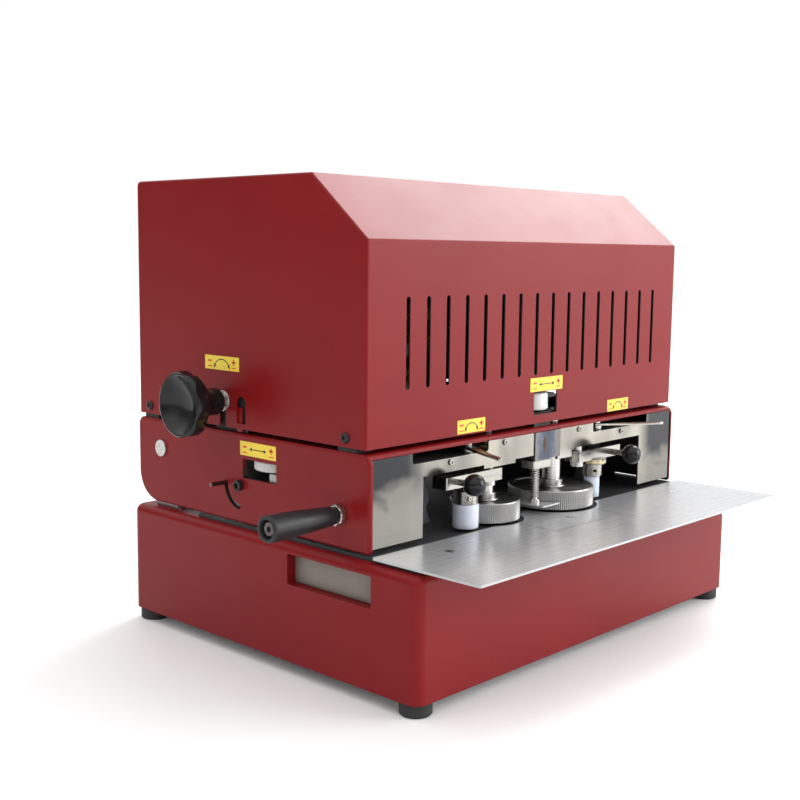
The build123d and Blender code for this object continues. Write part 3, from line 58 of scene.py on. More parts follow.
class Shader:
    """One material with a Principled shader, and the helpers that add nodes to it."""

    def __init__(self, name, roughness=0.5, metallic=0.0, **constants):
        self.material = bpy.data.materials.new(name)
        self.material.use_nodes = True
        self.tree = self.material.node_tree
        self.bsdf = self.tree.nodes["Principled BSDF"]
        self.bsdf.inputs["Roughness"].default_value = roughness
        self.bsdf.inputs["Metallic"].default_value = metallic
        for key, value in constants.items():
            self.bsdf.inputs[key.replace("_", " ")].default_value = value
        self.height = None
        self.coordinates = self.tree.nodes.new("ShaderNodeTexCoord").outputs["Object"]

    def add(self, kind, **settings):
        node = self.tree.nodes.new(kind)
        for key, value in settings.items():
            setattr(node, key, value)
        return node

    def join(self, output, target):
        self.tree.links.new(output, target)

    def stretched(self, stretch, vector=None):
        mapping = self.add("ShaderNodeMapping")
        mapping.inputs["Scale"].default_value = stretch
        self.join(vector or self.coordinates, mapping.inputs["Vector"])
        return mapping.outputs["Vector"]

    def noise(self, scale, detail=3.0, stretch=None, vector=None, distortion=0.0):
        node = self.add("ShaderNodeTexNoise")
        node.inputs["Scale"].default_value = scale
        node.inputs["Detail"].default_value = detail
        node.inputs["Distortion"].default_value = distortion
        source = vector or self.coordinates
        if stretch:
            source = self.stretched(stretch, source)
        self.join(source, node.inputs["Vector"])
        return node.outputs["Fac"]

    def remap(self, value, low, high, new_low, new_high):
        node = self.add("ShaderNodeMapRange")
        for key, number in (("From Min", low), ("From Max", high), ("To Min", new_low), ("To Max", new_high)):
            node.inputs[key].default_value = number
        self.join(value, node.inputs["Value"])
        return node.outputs["Result"]

    def maths(self, operation, a, b=None):
        node = self.add("ShaderNodeMath", operation=operation)
        for socket, value in zip(node.inputs, (a, b)):
            if value is None:
                continue
            if isinstance(value, (int, float)):
                socket.default_value = value
            else:
                self.join(value, socket)
        return node.outputs[0]

    def blend(self, factor, first, second):
        node = self.add("ShaderNodeMix", data_type="RGBA")
        self.join(factor, node.inputs["Factor"])
        for socket, value in ((node.inputs[6], first), (node.inputs[7], second)):
            if isinstance(value, (tuple, list)):
                socket.default_value = (*value, 1.0)
            else:
                self.join(value, socket)
        return node.outputs[2]

    def colour(self, value):
        if isinstance(value, (tuple, list)):
            self.bsdf.inputs["Base Color"].default_value = (*value, 1.0)
        else:
            self.join(value, self.bsdf.inputs["Base Color"])
        return self

    def rough(self, value, low, high):
        self.join(self.remap(value, 0.3, 0.7, low, high), self.bsdf.inputs["Roughness"])
        return self

    def bump(self, value, strength, distance):
        node = self.add("ShaderNodeBump")
        node.inputs["Strength"].default_value = strength
        node.inputs["Distance"].default_value = distance
        self.join(value, node.inputs["Height"])
        if self.height:
            self.join(self.height, node.inputs["Normal"])
        self.height = node.outputs["Normal"]
        self.join(self.height, self.bsdf.inputs["Normal"])
        return self

    def radius(self, centre, axis):
        """Distance in metres from the line through centre along X or Z."""
        shift = self.add("ShaderNodeVectorMath", operation="SUBTRACT")
        self.join(self.coordinates, shift.inputs[0])
        shift.inputs[1].default_value = centre
        flatten = self.add("ShaderNodeVectorMath", operation="MULTIPLY")
        self.join(shift.outputs[0], flatten.inputs[0])
        flatten.inputs[1].default_value = (0, 1, 1) if axis == "X" else (1, 1, 0)
        length = self.add("ShaderNodeVectorMath", operation="LENGTH")
        self.join(flatten.outputs[0], length.inputs[0])
        return length.outputs["Value"]

    def axis_value(self, axis):
        split = self.add("ShaderNodeSeparateXYZ")
        self.join(self.coordinates, split.inputs[0])
        return split.outputs[axis]

    def vector_of(self, x, y=None):
        node = self.add("ShaderNodeCombineXYZ")
        self.join(x, node.inputs[0])
        if y is not None:
            self.join(y, node.inputs[1])
        return node.outputs[0]


def enamel(name, light, dark, low=0.33, high=0.38):
    """Satin paint: faint clouds and specks, and the fine skin of a sprayed coat."""
    s = Shader(name, Specular_IOR_Level=0.17)
    cloud = s.noise(5.0, 3)
    speck = s.noise(260.0, 2)
    s.colour(s.blend(s.remap(s.maths("ADD", cloud, s.maths("MULTIPLY", speck, 0.25)), 0.45, 0.8, 0, 1), light, dark))
    s.rough(s.noise(22.0, 4), low, high)
    s.bump(s.noise(520.0, 1), 0.10, 0.0004)
    s.bump(s.noise(60.0, 2), 0.05, 0.0006)
    return s.material


def brushed(name, light, dark, stretch, low, high, metallic=1.0, grain=0.06):
    """Metal with lines of a stretched noise, and clouds of wear."""
    s = Shader(name, metallic=metallic)
    lines = s.noise(1.0, 3, stretch)
    cloud = s.noise(14.0, 3)
    s.colour(s.blend(s.remap(s.maths("ADD", lines, s.maths("MULTIPLY", cloud, 0.6)), 0.5, 1.1, 0, 1), light, dark))
    s.rough(s.maths("ADD", s.maths("MULTIPLY", lines, 0.6), s.maths("MULTIPLY", cloud, 0.4)), low, high)
    s.bump(lines, grain, 0.0002)
    return s.material


def turned(name, centre, axis, light, dark, low=0.2, high=0.34, pitch=1400.0):
    """Steel with fine rings round its own axis, on its faces and its rims."""
    s = Shader(name, metallic=1.0)
    place = s.vector_of(s.radius(centre, axis), s.axis_value(axis))
    rings = s.noise(1.0, 2, (pitch, pitch, 1), place)
    cloud = s.noise(30.0, 3)
    s.colour(s.blend(s.remap(s.maths("ADD", rings, s.maths("MULTIPLY", cloud, 0.7)), 0.5, 1.2, 0, 1), light, dark))
    s.rough(s.maths("ADD", s.maths("MULTIPLY", rings, 0.5), s.maths("MULTIPLY", cloud, 0.5)), low, high)
    s.bump(rings, 0.10, 0.0002)
    return s.material


def plastic(name, light, dark, low, high, grain, strength, **constants):
    """Moulded, blacked or printed surface with a fine grain."""
    s = Shader(name, **constants)
    cloud = s.noise(25.0, 3)
    s.colour(s.blend(s.remap(cloud, 0.3, 0.7, 0, 1), light, dark))
    s.rough(s.noise(70.0, 4), low, high)
    s.bump(s.noise(grain, 2), strength, 0.0002)
    return s.material


def cast(name, light, dark):
    """Rough skin of a casting."""
    s = Shader(name)
    grain = s.noise(420.0, 4)
    s.colour(s.blend(s.remap(s.noise(40.0, 4), 0.3, 0.7, 0, 1), light, dark))
    s.rough(grain, 0.42, 0.62)
    s.bump(grain, 0.35, 0.0006)
    s.bump(s.noise(60.0, 2), 0.2, 0.001)
    return s.material


RED_LIGHT, RED_DARK = (0.204, 0.0070, 0.0085), (0.182, 0.0058, 0.0073)
red = enamel("satin_red_enamel", RED_LIGHT, RED_DARK)
# Dull black: the real colour of the inner brackets and of the table insert's joint lines, and painted shade on the
# inner faces of the head and hood and on the sheets behind the small windows.
black_lining_and_shade = plastic("black_lining_and_painted_shade", (0.010, 0.010, 0.010), (0.018, 0.016, 0.016), 0.6, 0.8, 300.0, 0.2)
deck = enamel("deck_dark_paint", (0.045, 0.045, 0.047), (0.030, 0.030, 0.032), 0.4, 0.55)
zinc = brushed("zinc_plated_sheet", (0.55, 0.56, 0.57), (0.42, 0.43, 0.44), (60, 60, 60), 0.32, 0.5)
casting = cast("dark_cast_metal", (0.120, 0.122, 0.132), (0.080, 0.082, 0.090))
sheet = brushed(
    "satin_stainless_sheet", (0.465, 0.475, 0.485), (0.445, 0.455, 0.465), (9, 7000, 7000), 0.25, 0.30, 0.48, grain=0.0
)
ground = brushed("ground_steel_bar", (0.40, 0.385, 0.35), (0.29, 0.28, 0.26), (14, 700, 700), 0.18, 0.32)
plated = brushed("plated_steel", (0.56, 0.55, 0.52), (0.44, 0.43, 0.41), (300, 300, 300), 0.22, 0.36)
black_steel = plastic(
    "black_oxide_steel", (0.020, 0.020, 0.022), (0.035, 0.034, 0.034), 0.3, 0.48, 700.0, 0.1, metallic=0.6
)
drawn = brushed("drawn_spring_wire", (0.50, 0.50, 0.50), (0.34, 0.34, 0.34), (900, 900, 60), 0.2, 0.32)
phenolic = plastic(
    "polished_black_thermoset",
    (0.008, 0.008, 0.009),
    (0.013, 0.013, 0.014),
    0.12,
    0.24,
    500.0,
    0.05,
    Specular_IOR_Level=0.3,
)
grip_skin = plastic(
    "satin_grey_moulding",
    (0.020, 0.020, 0.022),
    (0.014, 0.014, 0.016),
    0.34,
    0.46,
    1600.0,
    0.16,
    Specular_IOR_Level=0.32,
)
nylon = plastic(
    "white_nylon", (0.80, 0.82, 0.93), (0.74, 0.77, 0.90), 0.34, 0.46, 800.0, 0.06, Subsurface_Weight=0.15
)
rubber = plastic("black_rubber", (0.014, 0.014, 0.014), (0.024, 0.023, 0.023), 0.62, 0.82, 600.0, 0.25)
pale = plastic("pale_moulding", (0.66, 0.65, 0.63), (0.56, 0.55, 0.53), 0.36, 0.5, 900.0, 0.06)
fitting = plastic("black_moulding", (0.016, 0.016, 0.016), (0.026, 0.026, 0.026), 0.42, 0.58, 1100.0, 0.18)
motor_paint = enamel("motor_black_enamel", (0.018, 0.018, 0.020), (0.030, 0.030, 0.032), 0.38, 0.5)
milled = brushed("milled_aluminium", (0.66, 0.67, 0.68), (0.54, 0.55, 0.56), (700, 20, 700), 0.28, 0.42)
bronze = brushed("sintered_bronze", (0.50, 0.36, 0.16), (0.36, 0.25, 0.11), (240, 240, 240), 0.36, 0.52)
brass = brushed("yellow_plated_ring", (0.62, 0.52, 0.34), (0.46, 0.37, 0.22), (400, 400, 400), 0.2, 0.32)


def mirror_material(low, high):
    """Bright warm nickel with reflections painted into its colour. Its wings are painted darker in their upper part,
    with blotches, as a painted reflection of a dark room, and its bar keeps a painted sheen in patches."""
    s = Shader("mirror_nickel", metallic=1.0)
    haze = s.noise(26.0, 4)
    # Painted reflection: the wings get darker upwards, with blotches, as a reflection of a dark room painted into the
    # colour.
    up = s.remap(s.axis_value("Z"), low.z, high.z, 0, 1)
    reflection_blotch = s.remap(s.noise(16.0, 2, distortion=0.8), 0.35, 0.65, -0.22, 0.22)
    side = s.remap(s.maths("ABSOLUTE", s.axis_value("X")), high.x * 0.72, high.x * 0.82, 0, 1)
    dark = s.remap(s.maths("ADD", up, reflection_blotch), 0.40, 0.62, 0, 1)
    painted_wing_reflection = s.blend(dark, (0.165, 0.158, 0.140), (0.036, 0.037, 0.040))
    # Painted sheen: the bar's colour varies in patches as a painted reflection.
    reflection_patches = s.remap(s.noise(22.0, 2, (1, 1, 0.4), distortion=0.5), 0.35, 0.65, 0, 1)
    painted_bar_sheen = s.blend(reflection_patches, (0.32, 0.30, 0.255), (0.17, 0.165, 0.155))
    s.colour(s.blend(side, painted_bar_sheen, painted_wing_reflection))
    s.rough(haze, 0.14, 0.26)
    s.bump(s.noise(11.0, 1, distortion=0.6), 0.12, 0.004)
    s.bump(s.noise(1.0, 2, (10, 600, 600)), 0.02, 0.0002)
    return s.material


mirror = mirror_material(*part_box("front_trim"))
dark_steel = brushed("oiled_dark_steel", (0.17, 0.155, 0.145), (0.10, 0.09, 0.085), (300, 300, 300), 0.26, 0.40)
blade_steel = brushed("polished_lever_steel", (0.48, 0.45, 0.41), (0.34, 0.32, 0.30), (300, 40, 300), 0.14, 0.28)


def blued_material(low, high):
    """Steel tinted by heat: blue in the middle, straw and brown outwards, one rubbed brassy streak."""
    s = Shader("heat_blued_steel", metallic=1.0)
    middle = (low + high) / 2
    across = s.remap(s.axis_value("X"), low.x, high.x, -1, 1)
    spread = s.maths("ADD", s.maths("ABSOLUTE", across), s.remap(s.noise(60.0, 4), 0.2, 0.8, -0.35, 0.35))
    ramp = s.add("ShaderNodeValToRGB")
    stops = ramp.color_ramp.elements
    stops[0].position, stops[0].color = 0.0, (0.052, 0.060, 0.078, 1)
    stops[1].position, stops[1].color = 1.0, (0.16, 0.14, 0.12, 1)
    for place, tint in ((0.45, (0.085, 0.094, 0.118, 1)), (0.75, (0.15, 0.155, 0.17, 1))):
        stop = stops.new(place)
        stop.color = tint
    s.join(spread, ramp.inputs[0])
    streak = s.add("ShaderNodeVectorMath", operation="SUBTRACT")
    s.join(s.coordinates, streak.inputs[0])
    streak.inputs[1].default_value = (middle.x - 0.0055, low.y, high.z - 0.012)
    squash = s.add("ShaderNodeVectorMath", operation="MULTIPLY")
    s.join(streak.outputs[0], squash.inputs[0])
    squash.inputs[1].default_value = (1 / 0.0022, 0, 1 / 0.0085)
    length = s.add("ShaderNodeVectorMath", operation="LENGTH")
    s.join(squash.outputs[0], length.inputs[0])
    edge = s.maths("ADD", length.outputs["Value"], s.remap(s.noise(500.0, 3), 0.2, 0.8, -0.4, 0.4))
    s.colour(s.blend(s.remap(edge, 0.8, 1.2, 0, 1), (0.070, 0.040, 0.024), ramp.outputs[0]))
    s.rough(s.noise(90.0, 4), 0.22, 0.4)
    s.bump(s.noise(1.0, 3, (700, 700, 12)), 0.05, 0.0002)
    return s.material


blued = blued_material(*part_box("heater_block"))


def panel_material(low, high):
    """Warm grey panel, a little darker towards its rim, with clouds of tone."""
    s = Shader("warm_grey_panel")
    along = s.maths("ABSOLUTE", s.remap(s.axis_value("Y"), low.y, high.y, -1, 1))
    up = s.maths("ABSOLUTE", s.remap(s.axis_value("Z"), low.z, high.z, -1, 1))
    rim = s.maths("POWER", s.maths("MAXIMUM", along, up), 8.0)
    rim_and_cloud = s.maths("ADD", rim, s.remap(s.noise(45.0, 5), 0.3, 0.7, -0.25, 0.25))
    s.colour(s.blend(s.remap(rim_and_cloud, 0, 1, 0, 1), (0.205, 0.175, 0.150), (0.115, 0.095, 0.082)))
    s.rough(s.noise(80.0, 4), 0.32, 0.5)
    s.bump(s.noise(1.0, 3, (400, 20, 900)), 0.08, 0.0003)
    return s.material


def board_material():
    """Green board with a grid of pads and tracks."""
    s = Shader("circuit_board")
    brick = s.add("ShaderNodeTexBrick")
    brick.inputs["Scale"].default_value = 140.0
    brick.inputs["Color1"].default_value = (0.010, 0.085, 0.035, 1)
    brick.inputs["Color2"].default_value = (0.014, 0.110, 0.045, 1)
    brick.inputs["Mortar"].default_value = (0.10, 0.22, 0.08, 1)
    brick.inputs["Mortar Size"].default_value = 0.012
    s.join(s.coordinates, brick.inputs["Vector"])
    s.colour(s.blend(s.remap(s.noise(30.0, 3), 0.3, 0.7, 0, 0.4), brick.outputs["Color"], (0.03, 0.03, 0.03)))
    s.rough(s.noise(60.0, 3), 0.3, 0.5)
    s.bump(brick.outputs["Fac"], 0.2, 0.0002)
    return s.material


def label_material():
    """Printed yellow film with a faint weave of the print and a few rubbed specks."""
    s = Shader("yellow_label_film", Coat_Weight=0.3, Coat_Roughness=0.25)
    rubbed = s.remap(s.noise(700.0, 5), 0.66, 0.72, 0, 0.5)
    tone = s.blend(s.remap(s.noise(60.0, 3), 0.3, 0.7, 0, 1), (0.86, 0.63, 0.015), (0.78, 0.54, 0.012))
    s.colour(s.blend(rubbed, tone, (0.80, 0.70, 0.35)))
    s.rough(s.noise(300.0, 3), 0.32, 0.46)
    s.bump(s.noise(900.0, 2), 0.05, 0.0001)
    return s.material


def foil_material():
    """Gold foil: fine turns of the roll seen on its ends, on pale cores."""
    s = Shader("gold_foil_roll", metallic=0.85)
    low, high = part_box("supply_reel")
    around = s.radius((low + high) / 2, "X")
    turns = s.noise(1.0, 2, (2600, 1, 1), s.vector_of(around))
    s.colour(s.blend(s.remap(turns, 0.3, 0.7, 0, 1), (0.62, 0.42, 0.12), (0.42, 0.27, 0.07)))
    s.rough(s.noise(50.0, 3), 0.18, 0.34)
    s.bump(turns, 0.12, 0.0002)
    return s.material


def paint(node, *materials):
    """Gives a CAD node its materials; its mesh stays as it is."""
    slots = nodes[node].data.materials
    slots.clear()
    for material in materials:
        slots.append(material)


def axis_centre(node):
    low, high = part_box(node)
    return (low + high) / 2


PAINTS = {
    red: ["base_casting", "head_frame", "hood"],
    deck: ["deck_plate"],
    zinc: ["bottom_cover", "hinge_posts", "motor_mount"],
    black_lining_and_shade: ["inner_brackets"],
    dark_steel: ["arc_lever"],
    casting: ["side_guards"],
    sheet: ["table_plate", "table_insert", "presser_foot"],
    ground: ["left_arm", "right_arm", "presser_guide"],
    plated: ["base_screws", "pivot_bolts", "pivot_pins", "guard_rods", "heater_cartridge", "motor_pulley"],
    mirror: ["front_trim"],
    blued: ["heater_block"],
    rubber: ["rubber_feet", "drive_belt"],
    fitting: ["power_inlet", "switch_housing", "inner_controls"],
    phenolic: ["power_rocker"],
    milled: ["power_supply", "reel_plate"],
    motor_paint: ["drive_motor", "takeup_motor"],
    bronze: ["wheel_bearings"],
    label_material(): ["direction_labels"],
    board_material(): ["control_board"],
    foil_material(): ["supply_reel", "takeup_reel"],
    panel_material(*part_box("recess_panel")): ["recess_panel"],
}
for material, names in PAINTS.items():
    for name in names:
        paint(name, material)
for name in ("left_wheel_shaft", "right_wheel_shaft", "presser_rod"):
    paint(name, turned(f"turned_{name}", axis_centre(name), "Z", (0.72, 0.70, 0.67), (0.55, 0.53, 0.51)))
shaft_steel = turned("turned_tension_shaft", axis_centre("tension_shaft"), "X", (0.11, 0.11, 0.11), (0.07, 0.07, 0.07))
paint("tension_shaft", shaft_steel)


def paint_shade_inside(node, inside):
    """Gives the polygons that the test picks the dull black lining as a second material. This is painted shade: these
    faces are red enamel but lie in shade.
    """
    mesh = nodes[node].data
    mesh.materials.append(black_lining_and_shade)
    for polygon in mesh.polygons:
        if inside(polygon.center, polygon.normal):
            polygon.material_index = 1


head_low, head_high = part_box("head_frame")
hood_low, hood_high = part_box("hood")
# A little less than the thickness of the head's wall and of the hood's sheet.
WALL = 3.8 * MM
SHEET = 1.35 * MM
ARC_PIVOT = Vector((0, 37.0 * MM, 158.5 * MM))
ARC_REACH = 32 * MM
ARC_TOP = 175 * MM


def inside_head(c, n):
    """The inner faces of the head, and the cut faces of the arc slot in its left wall. These get painted shade."""
    near_arc = (Vector((0, c.y, c.z)) - ARC_PIVOT).length < ARC_REACH and c.x < head_low.x + WALL
    if near_arc and abs(n.x) < 0.5 and c.z < ARC_TOP:
        return True
    within_x = head_low.x + WALL < c.x < head_high.x - WALL
    return within_x and head_low.y + 1.5 * MM < c.y < head_high.y - WALL and c.z < head_high.z - WALL


def inside_hood(c, n):
    """The inner faces of the hood, and the cut faces of its vent slots. These get painted shade."""
    if c.y < hood_low.y + 1.6 * MM and abs(n.x) > 0.5 and hood_low.x + 0.02 < c.x < hood_high.x - 0.02:
        return True
    if c.x < hood_low.x + SHEET or c.x > hood_high.x - SHEET:
        return False
    middle = Vector((0, (hood_low.y + hood_high.y) / 2, (hood_low.z + hood_high.z) / 2))
    middle.x = c.x * 0.98
    return n.dot(middle - c) > 0


# Painted shade: the inner faces of the head and the hood, and their slot walls, are painted dull black where they lie
# in shade.
paint_shade_inside("head_frame", inside_head)
paint_shade_inside("hood", inside_hood)

# ---------------------------------------------------------------- mesh helpers
AXES = {
    "X": (Vector((1, 0, 0)), Vector((0, 1, 0)), Vector((0, 0, 1))),
    "Y": (Vector((0, 1, 0)), Vector((0, 0, 1)), Vector((1, 0, 0))),
    "Z": (Vector((0, 0, 1)), Vector((1, 0, 0)), Vector((0, 1, 0))),
}


class Piece:
    """Collects the surfaces of one visible piece and makes its object."""

    def __init__(self, name, *materials):
        self.name = name
        self.materials = materials
        self.verts, self.faces, self.tags = [], [], []

    def surface(self, verts, faces, tag=0):
        start = len(self.verts)
        self.verts += [tuple(v) for v in verts]
        self.faces += [[start + i for i in face] for face in faces]
        self.tags += [tag] * len(faces)
        return self

    def turned(self, rows, centre, axis, segments=96, closed=False, shape=None, tag=0):
        """Rows of (place along the axis, radius[, kind[, depth]]) in mm. Kind "h" is a hexagon's half
        width, and "s" a radius that the shape function cuts with the angle, times its depth."""
        along, u, v = AXES[axis]
        verts, starts = [], []
        for row in rows:
            place, radius = row[0] * MM, row[1] * MM
            kind = row[2] if len(row) > 2 else "round"
            starts.append((len(verts), radius == 0))
            for i in range(1 if radius == 0 else segments):
                angle = 2 * math.pi * i / segments
                r = radius
                if kind == "h":
                    r = radius / math.cos((angle + math.pi / 6) % (math.pi / 3) - math.pi / 6)
                elif kind == "s":
                    depth = row[3] if len(row) > 3 else 1.0
                    r = radius - shape(angle) * depth * MM
                verts.append(centre + along * place + (u * math.cos(angle) + v * math.sin(angle)) * r)
        faces = []
        pairs = list(zip(starts, starts[1:])) + ([(starts[-1], starts[0])] if closed else [])
        for (a, a_pole), (b, b_pole) in pairs:
            if a_pole and b_pole:
                continue
            for i in range(segments):
                j = (i + 1) % segments
                if a_pole:
                    faces.append([a, b + j, b + i])
                elif b_pole:
                    faces.append([a + i, a + j, b])
                else:
                    faces.append([a + i, a + j, b + j, b + i])
        return self.surface(verts, faces, tag)

    def tube(self, points, radius, segments):
        """A round bar along points in mm, with flat ends."""
        path = [Vector(p) * MM for p in points]
        first = (path[1] - path[0]).normalized()
        side = first.cross(Vector((0.3, 0.2, 1.0))).normalized()
        verts = []
        for i, point in enumerate(path):
            before, after = path[max(i - 1, 0)], path[min(i + 1, len(path) - 1)]
            ahead = (after - before).normalized()
            side = (side - ahead * side.dot(ahead)).normalized()
            up = ahead.cross(side)
            for k in range(segments):
                angle = 2 * math.pi * k / segments
                verts.append(point + (side * math.cos(angle) + up * math.sin(angle)) * radius * MM)
        faces = []
        for i in range(len(path) - 1):
            here, there = i * segments, (i + 1) * segments
            for k in range(segments):
                after = (k + 1) % segments
                faces.append([here + k, here + after, there + after, there + k])
        faces.append(list(range(segments))[::-1])
        faces.append([(len(path) - 1) * segments + k for k in range(segments)])
        return self.surface(verts, faces)

    def slab(self, outline, origin, u, v, thickness, bevel=0.0, tag=0):
        """A flat piece: an outline in mm on the plane of u and v, extruded along their cross product."""
        u, v = Vector(u), Vector(v)
        normal = u.cross(v).normalized()
        mesh = bmesh.new()
        ring = [mesh.verts.new(Vector(origin) * MM + (u * x + v * y) * MM) for x, y in outline]
        face = mesh.faces.new(ring)
        grown = bmesh.ops.extrude_face_region(mesh, geom=[face])
        moved = [g for g in grown["geom"] if isinstance(g, bmesh.types.BMVert)]
        bmesh.ops.translate(mesh, verts=moved, vec=normal * thickness * MM)
        bmesh.ops.recalc_face_normals(mesh, faces=mesh.faces)
        if bevel:
            edges = [e for e in mesh.edges if e.calc_face_angle(0) > 0.9]
            bmesh.ops.bevel(mesh, geom=edges, offset=bevel * MM, segments=2, profile=0.6, affect="EDGES")
        self.surface([w.co for w in mesh.verts], [[w.index for w in f.verts] for f in self.indexed(mesh)], tag)
        mesh.free()
        return self

    def block(self, low, high, bevel):
        """A bevelled block between two corners in mm."""
        (x0, y0, z0), (x1, y1, z1) = low, high
        outline = [(x0, y0), (x1, y0), (x1, y1), (x0, y1)]
        return self.slab(outline, (0, 0, z0), (1, 0, 0), (0, 1, 0), z1 - z0, bevel)

    @staticmethod
    def indexed(mesh):
        mesh.verts.index_update()
        return mesh.faces

    def build(self, body, replaces=(), sharp=38, ride=True):
        data = bpy.data.meshes.new(self.name)
        data.from_pydata(self.verts, [], self.faces)
        for material in self.materials:
            data.materials.append(material)
        for polygon, tag in zip(data.polygons, self.tags):
            polygon.material_index = tag
            polygon.use_smooth = True
        mesh = bmesh.new()
        mesh.from_mesh(data)
        bmesh.ops.recalc_face_normals(mesh, faces=mesh.faces)
        mesh.to_mesh(data)
        mesh.free()
        data.set_sharp_from_angle(angle=math.radians(sharp))
        data.update()
        made = bpy.data.objects.new(self.name, data)
        bpy.context.scene.collection.objects.link(made)
        if ride:
            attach(made, body)
        if replaces:
            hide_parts(*replaces)
        return made


def hex_nut(piece, centre, start, end, half_width, bore):
    """A nut along X whose corners are turned off at both faces."""
    corner = half_width * 0.97
    chamfer = 0.54
    rows = [
        (start, bore),
        (start, corner),
        (start + chamfer, half_width, "h"),
        (end - chamfer, half_width, "h"),
        (end, corner),
        (end, bore),
    ]
    return piece.turned(rows, centre, "X", closed=True)


def socket_screw(piece, centre, axis, base, top, radius, socket, depth, dome=False, tag=0):
    """A round head with a hexagonal socket; base and top are places along the axis in mm."""
    sign = 1 if top > base else -1
    bevel = min(0.5, abs(top - base) * 0.25)
    rows = [(base, radius * 0.98), (base + sign * 0.1, radius)]
    if dome:
        for k in range(1, 8):
            t = k / 8 * math.pi / 2
            rows.append((base + (top - base) * math.sin(t), socket * 1.25 + (radius - socket * 1.25) * math.cos(t)))
    else:
        rows += [(top - sign * bevel, radius), (top - sign * bevel * 0.3, radius - bevel * 0.7), (top, radius - bevel)]
    rows += [
        (top, socket * 1.22),
        (top - sign * 0.25, socket, "h"),
        (top - sign * depth, socket, "h"),
        (top - sign * (depth + 0.4), 0),
    ]
    return piece.turned(rows, centre, axis, 72, tag=tag)


def centre_of(node):
    low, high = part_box(node)
    return low, high, (low + high) / 2


# ---------------------------------------------------------------- knobs, handle, balls
KNOB_LOBES, KNOB_LOBE_DEPTH = 7, 3.0
KNOB_ROWS = [
    (11.3, 0), (11.2, 4), (10.7, 8.5), (9.5, 13), (7.6, 17.4), (5.2, 21.4), (2.7, 24.6),
    (1.0, 26.3), (0.25, 27.3), (0.0, 28.0), (0.3, 28.9), (1.2, 29.8, "s", 0.15), (2.8, 30.4, "s", 0.45),
    (5.0, 30.8, "s", 0.8), (8.0, 30.8, "s", 1.0), (11.0, 30.6, "s", 1.0), (13.2, 29.8, "s", 0.9),
    (15.0, 28.2, "s", 0.6), (16.8, 25.6, "s", 0.3), (19.2, 21.6), (21.8, 18.0), (24.2, 15.2), (26.8, 13.6),
    (29.5, 12.9), (33.0, 12.7), (41.5, 12.6), (43.3, 12.3), (44.2, 11.6), (44.5, 10.6), (44.5, 4.2), (34.0, 4.2),
]


def knob_lobes(angle):
    return KNOB_LOBE_DEPTH * ((1 + math.cos(KNOB_LOBES * angle)) / 2) ** 2.2


low, high, middle = centre_of("tension_knob")
knob = Piece("tension_knob_body", phenolic)
knob.turned(KNOB_ROWS, Vector((low.x, middle.y, middle.z)), "X", 196, shape=knob_lobes)
knob.build("tension_knob", ["tension_knob"])

low, high, middle = centre_of("knob_bush")
bush = Piece("knob_nut_and_bush", plated)
bush_axis = Vector((0, middle.y, middle.z))
hex_nut(bush, bush_axis, low.x / MM, -240.6, 7.5, 4.1)
washer = [(-240.6, 4.1), (-240.6, 9.6), (-240.3, 9.8), (-240.0, 9.8), (-240.0, 4.1)]
bush.turned(washer, bush_axis, "X", 72, closed=True)
bush.build("head", ["knob_bush"])

low, high, middle = centre_of("grip_sleeve")
grip_axis = Vector((0, middle.y, middle.z))
g0, g1 = low.x / MM, high.x / MM
GRIP_ROWS = [
    (g1, 4.2), (g1, 6.6), (g1 - 0.25, 7.1), (g1 - 0.9, 7.6), (g1 - 2.2, 8.0), (g1 - 8, 8.55), (g1 - 16, 9.1),
    (g1 - 24, 9.6), (g1 - 33, 10.15), (g1 - 42, 10.6), (g1 - 52, 11.0), (g1 - 61, 11.25), (g1 - 68, 11.4),
    (g0 + 3.2, 11.48), (g0 + 1.7, 11.35), (g0 + 0.7, 10.9), (g0 + 0.15, 10.2), (g0, 9.5), (g0 + 0.1, 8.7),
    (g0 + 0.6, 8.15), (g0 + 1.4, 7.9), (g0 + 6.8, 7.5), (g0 + 7.0, 7.1), (g0 + 7.0, 4.2),
]
grip = Piece("grip_sleeve_body", grip_skin)
grip.turned(GRIP_ROWS, grip_axis, "X", 96)
grip.build("grip", ["grip_sleeve"])
spindle = Piece("grip_nut_and_screw", plated, dark_steel)
hex_nut(spindle, grip_axis, -247.0, -240.0, 8.45, 4.0)
socket_screw(spindle, grip_axis, "X", g0 + 6.0, g0 + 3.0, 6.0, 2.1, 2.0, tag=1)
spindle.turned([(g0 + 6.0, 4.0), (-240.0, 4.0), (-232.5, 4.0), (-232.0, 3.5), (-232.0, 0)], grip_axis, "X", 48)
spindle.build("head", ["grip_spindle"])

for side in ("left", "right"):
    low, high, middle = centre_of(f"{side}_ball_knob")
    radius = (high.x - low.x) / 2 / MM
    front = Vector((middle.x, low.y + radius * MM, middle.z))
    rows = [(-radius, 0)]
    for k in range(1, 30):
        angle = math.pi * k / 34
        rows.append((-radius * math.cos(angle), radius * math.sin(angle)))
    rows = [row for row in rows if row[0] < 8.35] + [(8.45, 5.2), (8.5, 4.9), (8.5, 3.05), (5.0, 3.05)]
    ball = Piece(f"{side}_ball_knob_body", phenolic)
    ball.turned(rows, front, "Y", 72)
    ball.build(f"{side}_arm", [f"{side}_ball_knob"])

